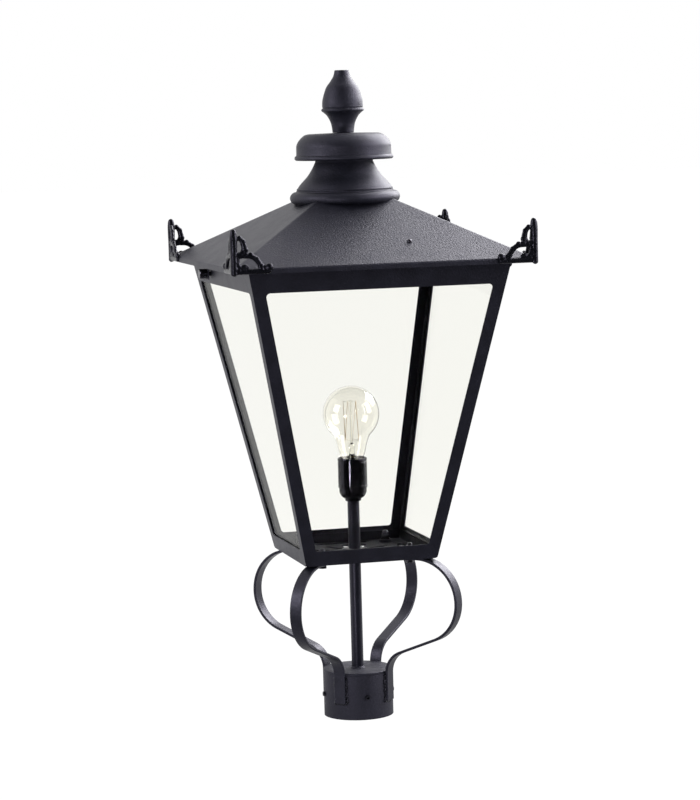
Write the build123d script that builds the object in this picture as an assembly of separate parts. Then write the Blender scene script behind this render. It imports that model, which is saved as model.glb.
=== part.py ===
from build123d import *
import math
import os

# Post top lantern: a square tapered glazed body under a four-sided roof, carried on four
# bent straps over a collar that slips onto a lamp post. Millimetres, +Z up, origin on the
# collar's axis at its lower rim, the widest photographed face towards -Y.

# ---------------------------------------------------------------- driving dimensions
# collar and stem
collar_radius = 37.0
collar_wall = 2.0
collar_height = 50.0
collar_lid_thickness = 3.0
stem_radius = 6.35
stem_wall = 1.5
stem_nut_height = 4.0
stem_nut_margin = 6.3
set_screw_radius = 2.5
set_screw_length = 4.0
set_screw_height = 24.0
socket_radius = 1.4
socket_depth = 2.0

# straps
strap_width = 13.0
strap_thickness = 3.0
strap_foot_height = 18.0
strap_bulge = 23.43
strap_slope = 0.393
strap_foot_bend = 25.0
strap_low_bend = 42.5
strap_bulge_straight = 0.5
strap_shoulder_height = 71.5
strap_shoulder_reach = 57.7
strap_bolt_inset = 33.27
strap_end_margin = 6.5

# glazed body
body_foot = 173.8
body_height = 310.5
body_foot_half = 70.9
body_top_half = 137.4
sheet = 1.2
post_flange = 13.3
bottom_rail = 15.6
top_rail = 21.2
window_corner = 4.0
foot_corner = 4.0
pane_thickness = 2.0
pane_edge = 5.4
retainer_leg = 12.0
retainer_thickness = 1.0
retainer_web = 1.4

# base
base_plate_thickness = 2.0
tray_flange = 11.0
boss_radius = 7.0
boss_height = 3.0
bolt_radius = 2.5
bolt_head_flats = 8.0
bolt_head_height = 3.5
washer_radius = 5.0
washer_thickness = 1.0
dome_nut_flats = 8.0
dome_nut_height = 9.0
edge_slot_length = 58.0
edge_slot_width = 8.0
edge_slot_margin = 8.9
fan_slot_count = 3
fan_slot_spread = 27.0
fan_slot_start = 22.0
fan_slot_gap = 8.0
fan_slot_width = 7.0
rosette_radius = 13.5
rosette_petals = 8
rosette_thickness = 3.0

# lamp holder and lamp
holder_rise = 56.2
holder_height = 46.0
holder_cap_height = 14.0
holder_wall = 1.5
skirt_room = 1.1
barrel_height = 38.0
barrel_wall = 1.75
barrel_gap = 0.25
block_height = 19.5
plunger_radius = 2.0
plunger_spacing = 11.0
plunger_travel = 2.5
lamp_cap_radius = 11.0
lamp_cap_wall = 0.4
lamp_cap_height = 21.5
pin_radius = 1.0
pin_length = 2.2
pin_rise = 28.0
slot_gap = 0.3
lamp_gap = 1.2
twist_angle = 18.0
bulb_radius = 30.0
bulb_rise = 46.9
bulb_neck_radius = 14.3
bulb_wall = 0.8
filament_radius = 8.0
filament_runs = 10
wire_radius = 0.35
filament_height = 41.0
mount_rod_radius = 1.0
mount_stem_height = 14.0

# roof
roof_overhang = 19.1
roof_lip = 5.2
roof_slope = 0.527
roof_sheet = 1.2
roof_hole_radius = 45.0
seat_web_inset = 9.0
seat_overhang = 0.4
rivet_radius = 1.6
rivet_head_radius = 2.6
rivet_along = 35.0
rivet_inset = 8.6
rivet_tail = 1.0

# chimney, cap and finial
chimney_skirt_radius = 55.0
chimney_bead_radius = 57.9
chimney_bead_rise = 8.51
chimney_height = 17.0
chimney_wall = 2.4
chimney_lip = 5.0
neck_step_radius = 50.6
neck_step_height = 2.2
neck_radius = 30.4
neck_waist_rise = 29.5
neck_height = 43.0
neck_wall = 1.2
neck_curve = ((0.946, 0.075), (0.812, 0.21), (0.426, 0.495), (0.158, 0.78), (0.0, 1.0))
vent_radius = 50.3
vent_rim_radius = 51.9
vent_rim_roll = 3.6
vent_rim_rise = 31.5
vent_height = 28.1
vent_corner = 13.5
vent_crown = 0.8
vent_wall = 1.2
finial_height = 65.15
finial_tip_radius = 7.4
finial_tip_recess = 2.0
finial_bulb_radius = 21.4
finial_bead_radius = 22.5
finial_bead_rise = 23.85
finial_foot_radius = 11.2
stalk_curve = ((0.204, 0.519), (0.541, 0.808))
finial_curve = ((0.958, 0.303), (0.794, 0.557), (0.589, 0.707), (0.421, 0.848))
rod_radius = 3.0
rod_reach = 4.5
rod_tail = 3.0
rod_nut_flats = 10.0
rod_nut_height = 4.0
spider_width = 14.0
spider_thickness = 2.2
sleeve_wall = 2.0

# corner ornaments: distances in from the wing's outer end, heights above the lip's foot
ornament_thickness = 3.2
ornament_base = 4.6
spike_height = 44.0
spike_radius = 2.5
spike_tip = 5.0
post_width = 5.6
post_height = 34.0
loop_outline = ((5.0, 36.4), (9.5, 37.2), (14.0, 33.5), (16.6, 27.0), (17.6, 20.0))
loop_slot = ((8.0, 29.6, 1.0), (7.7, 20.4, 1.9))
arch_middle = 17.6
arch_half = 14.0
arch_top = 21.0
arch_foot = 7.8
arch_hole = (17.4, 9.8, 7.6, 5.2)
inner_curl = (12.6, 6.6, 2.8)
end_curl = (31.6, 5.4, 2.4)
end_ball = (38.9, 5.6, 4.0)

# hinges at +X and catch at -X
hinge_offset = 80.0
hinge_length = 40.0
hinge_stand_off = 9.6
hinge_drop = 3.5
knuckle_radius = 3.5
hinge_pin_radius = 1.5
leaf_thickness = 1.5
leaf_drop = 14.0
leaf_flange = 14.0
catch_along = 56.0
catch_drop = 10.3
catch_tab_width = 16.0
catch_tab_thickness = 1.2
catch_tab_drop = 6.0
catch_head_radius = 5.5
catch_head_length = 7.0
catch_washer_thickness = 1.0
catch_bush_radius = 4.5
catch_bush_length = 5.0

# clearances
face_gap = 0.3
fit_gap = 0.1
running_gap = 0.05
mitre_gap = 0.05

# ---------------------------------------------------------------- derived sizes
BOTTOM = (Align.CENTER, Align.CENTER, Align.MIN)
body_top = body_foot + body_height
roof_half = body_top_half + roof_overhang
catch_height = body_top - catch_drop
hinge_height = body_top - hinge_drop
hinge_reach = body_top_half + hinge_stand_off
lean = (body_top_half - body_foot_half) / body_height
lean_length = math.hypot(body_top_half - body_foot_half, body_height)
sheet_across = sheet * lean_length / body_height
collar_bore = collar_radius - collar_wall
plate_top = body_foot + base_plate_thickness
boss_top = plate_top + boss_height
tray_top = body_foot + tray_flange
lip_top = body_top + roof_lip
roof_apex = lip_top + roof_half * roof_slope
roof_thickness_up = roof_sheet * math.hypot(1.0, roof_slope)
chimney_bead_height = lip_top + (roof_half - chimney_skirt_radius) * roof_slope + chimney_bead_rise
chimney_top = chimney_bead_height - chimney_bead_rise + chimney_height
neck_top = chimney_top + neck_height
vent_rim_height = chimney_top + vent_rim_rise
vent_top = vent_rim_height + vent_height
finial_foot = vent_top + running_gap
finial_bead_height = finial_foot + finial_bead_rise
finial_top = finial_foot + finial_height
rod_top = finial_bead_height + rod_reach
seat_foot = body_top + face_gap
web_half = body_top_half - seat_web_inset
flange_half = body_top_half + seat_overhang
window_foot = body_foot + bottom_rail
window_top = body_top - top_rail
pane_foot = tray_top + face_gap
pane_top = catch_height - catch_bush_radius - 3 * face_gap
strap_axis = collar_radius + strap_thickness / 2
strap_under = body_foot - strap_thickness
foot_corner_reach = body_foot_half * math.sqrt(2)
strap_reach = foot_corner_reach + strap_bulge
strap_bolt_reach = foot_corner_reach - strap_bolt_inset
edge_slot_reach = body_foot_half - edge_slot_margin - edge_slot_width / 2
fan_slot_end = edge_slot_reach - edge_slot_width / 2 - fan_slot_gap
holder_foot = body_foot + holder_rise
holder_top = holder_foot + holder_height
block_top = holder_foot + block_height
barrel_top = holder_foot + barrel_height
barrel_bore = lamp_cap_radius + barrel_gap
barrel_radius = barrel_bore + barrel_wall
holder_radius = barrel_radius + skirt_room + holder_wall
pin_height = holder_foot + pin_rise
pin_reach = lamp_cap_radius + pin_length
bulb_centre = holder_top + bulb_rise
lamp_foot = block_top + lamp_gap
mount_top = holder_top + mount_stem_height
filament_foot = mount_top + 5
filament_top = filament_foot + filament_height
sides = ("front", "right", "back", "left")
corners = ("front_right", "back_right", "back_left", "front_left")


def body_half(height):
    """Half width of the body's outer faces at a height."""
    return body_foot_half + (height - body_foot) * lean


def roof_at(half):
    """Height of the roof's outer surface at a distance from the axis."""
    return lip_top + (roof_half - half) * roof_slope


def under_roof(half):
    """Height of the roof's under surface at a distance from the axis."""
    return roof_at(half) - roof_thickness_up


def rod(radius, low, high):
    """Upright cylinder on the axis between two heights."""
    return Pos(0, 0, low) * Cylinder(radius, high - low, align=BOTTOM)


def bar_between(start, end, radius):
    """Round bar from one point to another."""
    start, end = Vector(*start), Vector(*end)
    run = end - start
    return Plane(origin=start, z_dir=run) * Cylinder(radius, run.length, align=BOTTOM)


def hexagon(flats, low, high):
    """Upright hexagonal prism on the axis, sized across its flats."""
    return Pos(0, 0, low) * extrude(RegularPolygon(flats / 2, 6, major_radius=False), high - low)


def spun(*edges):
    """Solid of revolution about Z from outline edges given in the XZ plane."""
    return revolve(Plane.XZ * make_face(Curve() + list(edges)), axis=Axis.Z)


def turned(points):
    """Solid of revolution about Z from (radius, height) corners."""
    return spun(Polyline(*points, close=True))


def quarter(shape, turns):
    """Turn a shape about Z by quarter turns."""
    return Rot(0, 0, 90 * turns) * shape


def on_corner(shape, turns):
    """Turn a shape made along +X onto one of the four diagonals."""
    return Rot(0, 0, 90 * turns - 45) * shape


def side_wedge(reach, gap=0.0):
    """Sector under the -Y side, bounded by the two diagonals."""
    sector = Polygon((0, 0), (-reach, -reach), (reach, -reach), align=None)
    return Pos(0, -gap, -1) * extrude(sector, roof_apex + 2)


def square_ring(points, reach):
    """Square frame with mitred corners from a section of (distance, height) corners."""
    section = Plane.YZ * make_face(Polyline(*[(-x, z) for x, z in points], close=True))
    side = extrude(section, amount=reach, both=True) & side_wedge(reach)
    return side + quarter(side, 1) + quarter(side, 2) + quarter(side, 3)


def save(shape, name):
    """Write one node as STEP."""
    export_step(shape, f"parts/{name}.step")


# ---------------------------------------------------------------- collar and stem
def collar_tube():
    """Tube that slips over the post, with four tapped holes between the straps."""
    tube = rod(collar_radius, 0, collar_height - collar_lid_thickness)
    tube -= rod(collar_bore, -1, collar_height)
    hole = Plane(origin=(0, 0, set_screw_height), z_dir=(0, -1, 0))
    hole *= Cylinder(set_screw_radius + running_gap, collar_radius + 1, align=BOTTOM)
    for turns in range(4):
        tube -= quarter(hole, turns)
    return tube


def collar_lid():
    """Disc that closes the collar's top and takes the stem."""
    lid = rod(collar_radius, collar_height - collar_lid_thickness, collar_height)
    lid = chamfer(lid.edges().group_by(Axis.Z)[-1], 0.6)
    return lid - rod(stem_radius + running_gap, 0, collar_height + 1)


def set_screw():
    """Socket screw at the -Y side, backed out so that the bore is clear."""
    start = collar_bore + fit_gap
    screw = Cylinder(set_screw_radius, set_screw_length, align=BOTTOM)
    screw -= Pos(0, 0, set_screw_length - socket_depth) * extrude(RegularPolygon(socket_radius, 6), socket_depth)
    return Plane(origin=(0, -start, set_screw_height), z_dir=(0, -1, 0)) * screw


def stem_tube():
    """Conduit welded into the collar's lid, up into the lamp holder."""
    low = collar_height - collar_lid_thickness
    high = holder_foot + holder_cap_height / 2
    return rod(stem_radius, low, high) - rod(stem_radius - stem_wall, low - 1, high + 1)


def stem_nut():
    """Lock nut under the base plate."""
    nut = hexagon(2 * stem_radius + stem_nut_margin, body_foot - stem_nut_height, body_foot)
    return nut - rod(stem_radius + running_gap, 0, body_foot + 1)


# ---------------------------------------------------------------- straps
def strap_line():
    """Centre line of one strap as (distance from axis, height)."""
    slope_at_foot = strap_shoulder_height - (strap_shoulder_reach - strap_axis) * strap_slope
    slope_at_bulge = strap_shoulder_height + (strap_reach - strap_shoulder_reach) * strap_slope
    top = body_foot - strap_thickness / 2
    low_turn = math.pi / 2 - math.atan(strap_slope)
    high_bend = top - slope_at_bulge - strap_low_bend * math.tan(low_turn / 2) - strap_bulge_straight
    bends = [strap_foot_bend, strap_low_bend, high_bend]
    return FilletPolyline(
        (strap_axis, strap_foot_height),
        (strap_axis, slope_at_foot),
        (strap_reach, slope_at_bulge),
        (strap_reach, top),
        (strap_bolt_reach - strap_end_margin, top),
        radius=bends,
    )


def strap():
    """Flat bar bent from the collar out and back under the body, along +X."""
    outline = make_face(offset(strap_line(), amount=strap_thickness / 2, side=Side.BOTH, kind=Kind.INTERSECTION))
    bar = extrude(Plane.XZ * outline, amount=strap_width / 2, both=True)
    hole = Cylinder(bolt_radius + fit_gap, strap_thickness + 2, align=BOTTOM)
    return bar - Pos(strap_bolt_reach, 0, strap_under - 1) * hole


def strap_bolt():
    """Hexagon bolt up through a strap's end, on the axis before it is placed."""
    tip = boss_top + washer_thickness + dome_nut_height / 2
    return hexagon(bolt_head_flats, strap_under - bolt_head_height, strap_under) + rod(bolt_radius, strap_under, tip)


def strap_washer():
    """Plain washer on a boss of the base plate."""
    return rod(washer_radius, boss_top, boss_top + washer_thickness) - rod(bolt_radius + fit_gap, 0, body_top)


def dome_nut():
    """Domed cap nut over a strap bolt."""
    low = boss_top + washer_thickness
    skirt_height = dome_nut_height * 0.45
    nut = hexagon(dome_nut_flats, low, low + skirt_height)
    nut += Pos(0, 0, low + skirt_height) * (Sphere(dome_nut_flats / 2 * 0.98) & Box(20, 20, 20, align=BOTTOM))
    nut += rod(dome_nut_flats / 2 * 0.6, low + skirt_height, low + dome_nut_height)
    return nut - rod(bolt_radius + running_gap, low - 1, low + dome_nut_height / 2 + face_gap)


def at_bolts(shape):
    """Four copies of a bolt-axis piece as one group."""
    placed = Pos(strap_bolt_reach, 0, 0) * shape
    return Part() + [on_corner(placed, turns) for turns in range(4)]


# ---------------------------------------------------------------- base
def fan_slot(angle):
    """Radial slot of one fan, about the -Y direction."""
    middle = (fan_slot_start + fan_slot_end) / 2
    slot = SlotOverall(fan_slot_end - fan_slot_start, fan_slot_width, rotation=90)
    return Rot(0, 0, angle) * Pos(0, -middle) * slot


def base_cutouts():
    """Pierced pattern of the base plate: an edge slot and a fan on each side."""
    pattern = Pos(0, -edge_slot_reach) * SlotOverall(edge_slot_length, edge_slot_width)
    middle = (fan_slot_count - 1) / 2
    for index in range(fan_slot_count):
        pattern += fan_slot((index - middle) * fan_slot_spread)
    cutter = Pos(0, 0, body_foot - 1) * extrude(pattern, base_plate_thickness + 2)
    return [quarter(cutter, turns) for turns in range(4)]


def base_tray():
    """Pierced base plate with turned-up leaning edges and four bolt bosses."""
    foot = body_half(body_foot) - sheet_across - fit_gap
    top = body_half(tray_top) - sheet_across - fit_gap
    wall = [(foot, body_foot), (top, tray_top), (top - sheet_across, tray_top), (foot - sheet_across, body_foot)]
    tray = square_ring(wall, body_top_half)
    tray += Pos(0, 0, body_foot) * Box(2 * foot - sheet, 2 * foot - sheet, base_plate_thickness, align=BOTTOM)
    for turns in range(4):
        tray += on_corner(Pos(strap_bolt_reach, 0, 0) * rod(boss_radius, body_foot, boss_top), turns)
    for turns in range(4):
        tray -= on_corner(Pos(strap_bolt_reach, 0, 0) * rod(bolt_radius + fit_gap, 0, body_top), turns)
    for cutter in base_cutouts():
        tray -= cutter
    return tray - rod(stem_radius + fit_gap, 0, body_top)


def stem_rosette():
    """Petalled collar round the stem on the base plate."""
    petal = rosette_radius * 0.24
    shape = rod(rosette_radius - 1.6 * petal, plate_top, plate_top + rosette_thickness)
    lobe = Pos(rosette_radius - petal, 0, 0) * rod(petal, plate_top, plate_top + rosette_thickness)
    for index in range(rosette_petals):
        shape += Rot(0, 0, 360 / rosette_petals * index) * lobe
    return shape - rod(stem_radius + running_gap, 0, body_top)


# ---------------------------------------------------------------- glazed body
def leaning_plane(inset):
    """Plane of the -Y body face, moved inwards by a distance, with its origin at the foot."""
    tilt = math.atan(lean)
    outward = Vector(0, -math.cos(tilt), -math.sin(tilt))
    origin = Vector(0, -body_foot_half, body_foot) - outward * inset
    return Plane(origin=origin, x_dir=(1, 0, 0), z_dir=outward)


def along_lean(height):
    """Distance up a leaning face from its foot to a height."""
    return (height - body_foot) * lean_length / body_height


def leaning_panel(low, high, edge):
    """Trapezoid in the leaning plane between two heights, narrower than the face by an edge."""
    low_half, high_half = body_half(low) - edge, body_half(high) - edge
    v_low, v_high = along_lean(low), along_lean(high)
    return Polygon((-low_half, v_low), (low_half, v_low), (high_half, v_high), (-high_half, v_high), align=None)


def side_frame():
    """Punched sheet side of the body, at -Y."""
    outline = leaning_panel(body_foot, body_top, 0)
    outline = fillet(outline.vertices().group_by(Axis.Y)[0], foot_corner)
    window = leaning_panel(window_foot, window_top, post_flange)
    outline -= fillet(window.vertices(), window_corner)
    frame = extrude(leaning_plane(0) * outline, amount=-sheet)
    return frame & side_wedge(body_top_half + 1, mitre_gap)


def catch_bush():
    """Threaded bush behind the -X face for the catch's shank."""
    surface = body_half(catch_height)
    start = -surface + sheet_across / 2
    return catch_axis(start, start + catch_bush_length, catch_bush_radius)


def catch_shank_hole():
    """Cutter for the catch's threaded hole through the -X face and its bush."""
    surface = body_half(catch_height)
    return catch_axis(-surface - 5, -surface + 15, bolt_radius + running_gap)


def glass_pane():
    """Flat pane behind the -Y face, standing on the tray's turned-up edge."""
    outline = leaning_panel(pane_foot, pane_top, pane_edge)
    return extrude(leaning_plane(sheet + fit_gap) * outline, amount=-pane_thickness)


def corner_retainer():
    """Angle strip with a web that holds two panes at a corner, at the (-X, -Y) corner."""
    behind = (sheet + 2 * fit_gap + pane_thickness) * lean_length / body_height + fit_gap
    web_start = sheet_across + fit_gap
    reach = behind + retainer_thickness
    half_web = retainer_web / 2 * math.sqrt(2)
    angle = Polygon((behind, behind), (retainer_leg, behind), (retainer_leg, reach), (reach, reach),
                    (reach, retainer_leg), (behind, retainer_leg), align=None)
    web = Polygon((web_start + half_web, web_start), (reach, reach - half_web), (reach - half_web, reach),
                  (web_start, web_start + half_web), align=None)
    section = Pos(-body_half(pane_foot), -body_half(pane_foot), pane_foot) * (angle + web)
    rise = pane_top - pane_foot
    return extrude(section, amount=rise * math.sqrt(1 + 2 * lean ** 2), dir=(-lean, -lean, 1))


# ---------------------------------------------------------------- lamp holder
def holder_cap():
    """Bell-shaped lower cap of the lamp holder, screwed onto the stem."""
    top = holder_foot + holder_cap_height
    hub = stem_radius + holder_wall
    rim = holder_radius - 0.8
    outside = Spline((hub + 0.6, holder_foot), (rim - 2.2, holder_foot + holder_cap_height * 0.45), (rim, top),
                     tangents=[(1, 0.15), (0, 1)])
    inside = Spline((rim - holder_wall, top), (rim - 2.2 - holder_wall, holder_foot + holder_cap_height * 0.52),
                    (hub, holder_foot + 2 * holder_wall), tangents=[(0, -1), (-1, -0.3)])
    rest = Polyline((hub, holder_foot + 2 * holder_wall), (stem_radius + running_gap, holder_foot + 2 * holder_wall),
                    (stem_radius + running_gap, holder_foot), (hub + 0.6, holder_foot))
    return spun(outside, Line((rim, top), (rim - holder_wall, top)), inside, rest)


def holder_barrel():
    """Moulded barrel with two bayonet slots over a terminal block with two plunger bores."""
    block_foot = holder_foot + holder_cap_height / 2 + 2
    barrel = rod(barrel_radius - holder_wall, block_foot, block_top)
    barrel += rod(barrel_radius, holder_foot + holder_cap_height, barrel_top)
    barrel -= rod(barrel_bore, block_top, barrel_top + 1)
    slot_half = pin_radius + slot_gap
    entry = Box(2 * barrel_radius + 4, 2 * slot_half, barrel_top - pin_height + slot_half + 1, align=BOTTOM)
    barrel -= Rot(0, 0, twist_angle) * Pos(0, 0, pin_height - slot_half) * entry
    section = Plane.XZ * Pos(barrel_radius, pin_height) * Rectangle(2 * barrel_wall + 2, 2 * slot_half)
    margin = math.degrees(slot_half / barrel_bore)
    turn = revolve(section, axis=Axis.Z, revolution_arc=twist_angle + margin)
    for start in (0, 180):
        barrel -= Rot(0, 0, start - margin) * turn
    for side in (-1, 1):
        bore = rod(plunger_radius + running_gap, block_foot + 1.5, block_top + 1)
        barrel -= Pos(0, side * plunger_spacing / 2, 0) * bore
    return barrel


def contact_plunger(side):
    """Sprung contact pin standing just under the lamp's base."""
    length = block_top - holder_foot - holder_cap_height / 2 - plunger_travel - 4
    low = lamp_foot - running_gap - length
    return Pos(0, side * plunger_spacing / 2, 0) * rod(plunger_radius, low, lamp_foot - running_gap)


def holder_skirt():
    """Smooth outer skirt of the lamp holder."""
    low = holder_foot + holder_cap_height + fit_gap
    skirt = rod(holder_radius, low, holder_top)
    skirt = fillet(skirt.edges().group_by(Axis.Z)[-1], 0.8)
    thread_top = low + 6
    skirt -= rod(barrel_radius + fit_gap, low - 1, thread_top + 1)
    return skirt - rod(holder_radius - holder_wall, thread_top, holder_top + 1)


# ---------------------------------------------------------------- lamp
def bulb_profile(inset, foot):
    """Solid of revolution of the glass envelope, its surface moved inwards by an inset."""
    round_radius = bulb_radius - inset
    neck = bulb_neck_radius - inset
    start_angle = -45
    shoulder = (round_radius * math.cos(math.radians(start_angle)),
                bulb_centre + round_radius * math.sin(math.radians(start_angle)))
    throat = lamp_cap_radius - lamp_cap_wall - running_gap - inset
    throat_top = lamp_foot + lamp_cap_height
    neck_height = holder_top + 5
    lower = Polyline((0, foot), (throat, foot), (throat, throat_top))
    flare = Spline((throat, throat_top), (neck, neck_height), shoulder, tangents=[(1, 1.4), (1, 1)])
    dome = CenterArc((0, bulb_centre), round_radius, start_angle, 90 - start_angle)
    axis = Line((0, bulb_centre + round_radius), (0, foot))
    return spun(lower, flare, dome, axis)


def bulb_glass():
    """Clear glass envelope, open at its cemented foot."""
    foot = lamp_foot + lamp_cap_height - 4
    return bulb_profile(0, foot) - bulb_profile(bulb_wall, foot - 1)


def lamp_cap():
    """Brass bayonet cap with its two pins."""
    shell = rod(lamp_cap_radius, lamp_foot, lamp_foot + lamp_cap_height)
    shell -= rod(lamp_cap_radius - lamp_cap_wall, lamp_foot - 1, lamp_foot + lamp_cap_height + 1)
    root = lamp_cap_radius - lamp_cap_wall
    for side in (-1, 1):
        shell += bar_between((side * root, 0, pin_height), (side * pin_reach, 0, pin_height), pin_radius)
    return shell


def lamp_base():
    """Insulating disc in the cap's foot with its two contact pads."""
    disc = rod(lamp_cap_radius - lamp_cap_wall, lamp_foot + 0.6, lamp_foot + 4)
    for side in (-1, 1):
        disc += Pos(0, side * plunger_spacing / 2, 0) * rod(plunger_radius + 0.8, lamp_foot, lamp_foot + 1)
    return disc


def lamp_mount():
    """Glass flare and stem that carries the wires."""
    low = lamp_foot + lamp_cap_height - 4
    inner = lamp_cap_radius - lamp_cap_wall - running_gap - bulb_wall - running_gap
    return turned([(0, low), (inner, low), (inner, low + 1.2), (3.4, low + 7), (3.0, mount_top - 2),
                   (3.8, mount_top - 1), (3.0, mount_top), (0, mount_top)])


def filament_point(index):
    """Bend point of the filament: even ones at the foot, odd ones at the top."""
    angle = math.radians(360 / (filament_runs + 1) * index)
    height = filament_top if index % 2 else filament_foot
    return Vector(filament_radius * math.cos(angle), filament_radius * math.sin(angle), height)


def filament_supports():
    """Centre rod with a wire spoke to each bend of the filament."""
    supports = rod(mount_rod_radius, mount_top + running_gap, filament_top + 1)
    reach = (filament_radius - 2 * wire_radius - fit_gap) / filament_radius
    for index in range(filament_runs + 1):
        bend = filament_point(index)
        supports += bar_between((0, 0, bend.Z), (bend.X * reach, bend.Y * reach, bend.Z), wire_radius)
    return supports


def filament():
    """Cage filament: straight runs up and down between its bends."""
    points = [filament_point(index) for index in range(filament_runs + 1)]
    wire = Part()
    for start, end in zip(points, points[1:]):
        wire += bar_between(start, end, wire_radius)
    for point in points[1:-1]:
        wire += Pos(*point) * Sphere(wire_radius)
    return wire


# ---------------------------------------------------------------- roof
def roof_shell():
    """Folded sheet roof with a turned-down lip and a round hole under the chimney."""
    inner_half = roof_half - roof_sheet
    hole_half = roof_hole_radius / 2
    outer = [(roof_half, body_top), (roof_half, lip_top), (hole_half, roof_at(hole_half))]
    inner = [(hole_half, under_roof(hole_half)), (inner_half, under_roof(inner_half)), (inner_half, body_top)]
    shell = square_ring(outer + inner, roof_half + 1)
    shell -= rod(roof_hole_radius, body_top, roof_apex)
    return shell - rivet_cutter()


def roof_seat_frame():
    """Folded ring riveted under the roof that rests on the body's top edges."""
    inner_half = rivet_half() - rivet_head_radius * 2.5
    slant = roof_thickness_up
    lift = fit_gap
    section = [
        (flange_half, seat_foot),
        (flange_half, seat_foot + sheet),
        (web_half + sheet, seat_foot + sheet),
        (web_half + sheet, under_roof(web_half + sheet) - lift),
        (inner_half, under_roof(inner_half) - lift),
        (inner_half, under_roof(inner_half) - lift - slant),
        (web_half, under_roof(web_half) - lift - slant),
        (web_half, seat_foot),
    ]
    return square_ring(section, roof_half) - rivet_cutter()


def rivet_half():
    """Distance of the roof rivets from the axis."""
    return web_half - rivet_inset


def rivet_frame():
    """Plane on the roof's -Y slope at a rivet, normal to the sheet."""
    half = rivet_half()
    outward = Vector(0, -roof_slope, 1)
    return Plane(origin=(rivet_along, -half, roof_at(half)), z_dir=outward)


def rivet_cutter():
    """Holes for the four roof rivets."""
    hole = rivet_frame() * Cylinder(rivet_radius + running_gap, 20)
    return Part() + [quarter(hole, turns) for turns in range(4)]


def roof_rivets():
    """One domed rivet on each roof slope."""
    grip = 2 * roof_sheet + fit_gap
    head = Sphere(rivet_head_radius) & Box(20, 20, 20, align=BOTTOM)
    shank = Pos(0, 0, -grip - 2 * running_gap) * Cylinder(rivet_radius, grip + 3 * running_gap, align=BOTTOM)
    tail = Pos(0, 0, -grip - running_gap - rivet_tail) * Cylinder(rivet_head_radius, rivet_tail, align=BOTTOM)
    rivet = rivet_frame() * (Pos(0, 0, running_gap) * head + shank + tail)
    return Part() + [quarter(rivet, turns) for turns in range(4)]


# ---------------------------------------------------------------- chimney and finial
def roof_block():
    """Solid pyramid under the roof's outer surface."""
    return square_ring([(0, body_top), (roof_half, body_top), (roof_half, lip_top), (0, roof_apex)], roof_half + 1)


def chimney_base():
    """Beaded ring that sits over the roof's peak, scribed to the four slopes."""
    bead = chimney_bead_height
    skirt = chimney_skirt_radius
    low = roof_at(skirt) - chimney_wall
    top_radius = neck_step_radius + 0.4
    outside = [
        Line((skirt, low), (skirt, bead - 4.2)),
        Spline((skirt, bead - 4.2), (chimney_bead_radius, bead), (chimney_bead_radius - 3.3, bead + 6.2),
               (top_radius, bead + 7.6), tangents=[(1, 0.2), (-1, 0.1)]),
        Line((top_radius, bead + 7.6), (top_radius, chimney_top)),
    ]
    inside_radius = skirt - chimney_wall
    lip = roof_hole_radius - chimney_lip
    closing = Polyline(
        (top_radius, chimney_top),
        (lip, chimney_top),
        (lip, chimney_top - chimney_wall),
        (top_radius - 2, chimney_top - chimney_wall),
        (inside_radius, bead + 3),
        (inside_radius, low),
        (skirt, low),
    )
    return spun(*outside, closing) - roof_block()


def neck_outside(inset):
    """Outline points of the concave neck moved inwards by an inset."""
    flare = neck_step_radius - neck_radius
    return [(neck_radius + share * flare - inset, chimney_top + rise * neck_waist_rise) for share, rise in neck_curve]


def chimney_neck():
    """Spun concave neck that runs up inside the vent cap."""
    step = neck_step_radius
    outer = neck_outside(0)
    inner = neck_outside(neck_wall)
    rim = Polyline(
        (step - neck_wall * 2, chimney_top),
        (step - 0.4, chimney_top),
        (step, chimney_top + neck_step_height / 2),
        (step - 0.4, chimney_top + neck_step_height - 0.2),
        outer[0],
    )
    up = Polyline(outer[-1], (neck_radius, neck_top), (neck_radius - neck_wall, neck_top), inner[-1])
    foot = Line(inner[0], (step - neck_wall * 2, chimney_top))
    return spun(rim, Spline(*outer), up, Spline(*reversed(inner)), foot)


def chimney_spider():
    """Bar across the chimney with the sleeve that spaces the vent cap."""
    top = chimney_top - chimney_wall - fit_gap
    half_length = neck_step_radius - 4.5
    bar = Pos(0, 0, top - spider_thickness) * Box(2 * half_length, spider_width, spider_thickness, align=BOTTOM)
    sleeve = rod(rod_radius + sleeve_wall, top - spider_thickness, vent_top - vent_wall - fit_gap)
    return bar + sleeve - rod(rod_radius + running_gap, 0, finial_top)


def vent_cap():
    """Spun cap over the neck, open below, with a rolled rim."""
    low = vent_rim_height
    rim_top = low + vent_rim_roll
    side = vent_radius - 0.4
    side_top = vent_top - vent_corner - 0.4
    inner = vent_radius - vent_wall
    crown = vent_radius - vent_corner
    crown_top = vent_top - vent_crown
    bore = rod_radius + running_gap
    outside = [
        Line((bore, vent_top), (crown, crown_top)),
        Spline((crown, crown_top), (vent_radius - 3.6, vent_top - 7.4), (side, side_top),
               tangents=[(1, -0.06), (0.05, -1)]),
        Line((side, side_top), (vent_radius + 0.4, rim_top)),
        ThreePointArc((vent_radius + 0.4, rim_top), (vent_rim_radius, low + vent_rim_roll / 2), (vent_radius, low)),
    ]
    inside = [
        Line((vent_radius, low), (inner, low)),
        Line((inner, low), (inner - 0.4, side_top)),
        Spline((inner - 0.4, side_top), (inner - 3.6, vent_top - 7.9), (crown, crown_top - vent_wall),
               tangents=[(-0.05, 1), (-1, 0.06)]),
        Line((crown, crown_top - vent_wall), (bore, vent_top - vent_wall)),
        Line((bore, vent_top - vent_wall), (bore, vent_top)),
    ]
    return spun(*outside, *inside)


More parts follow.
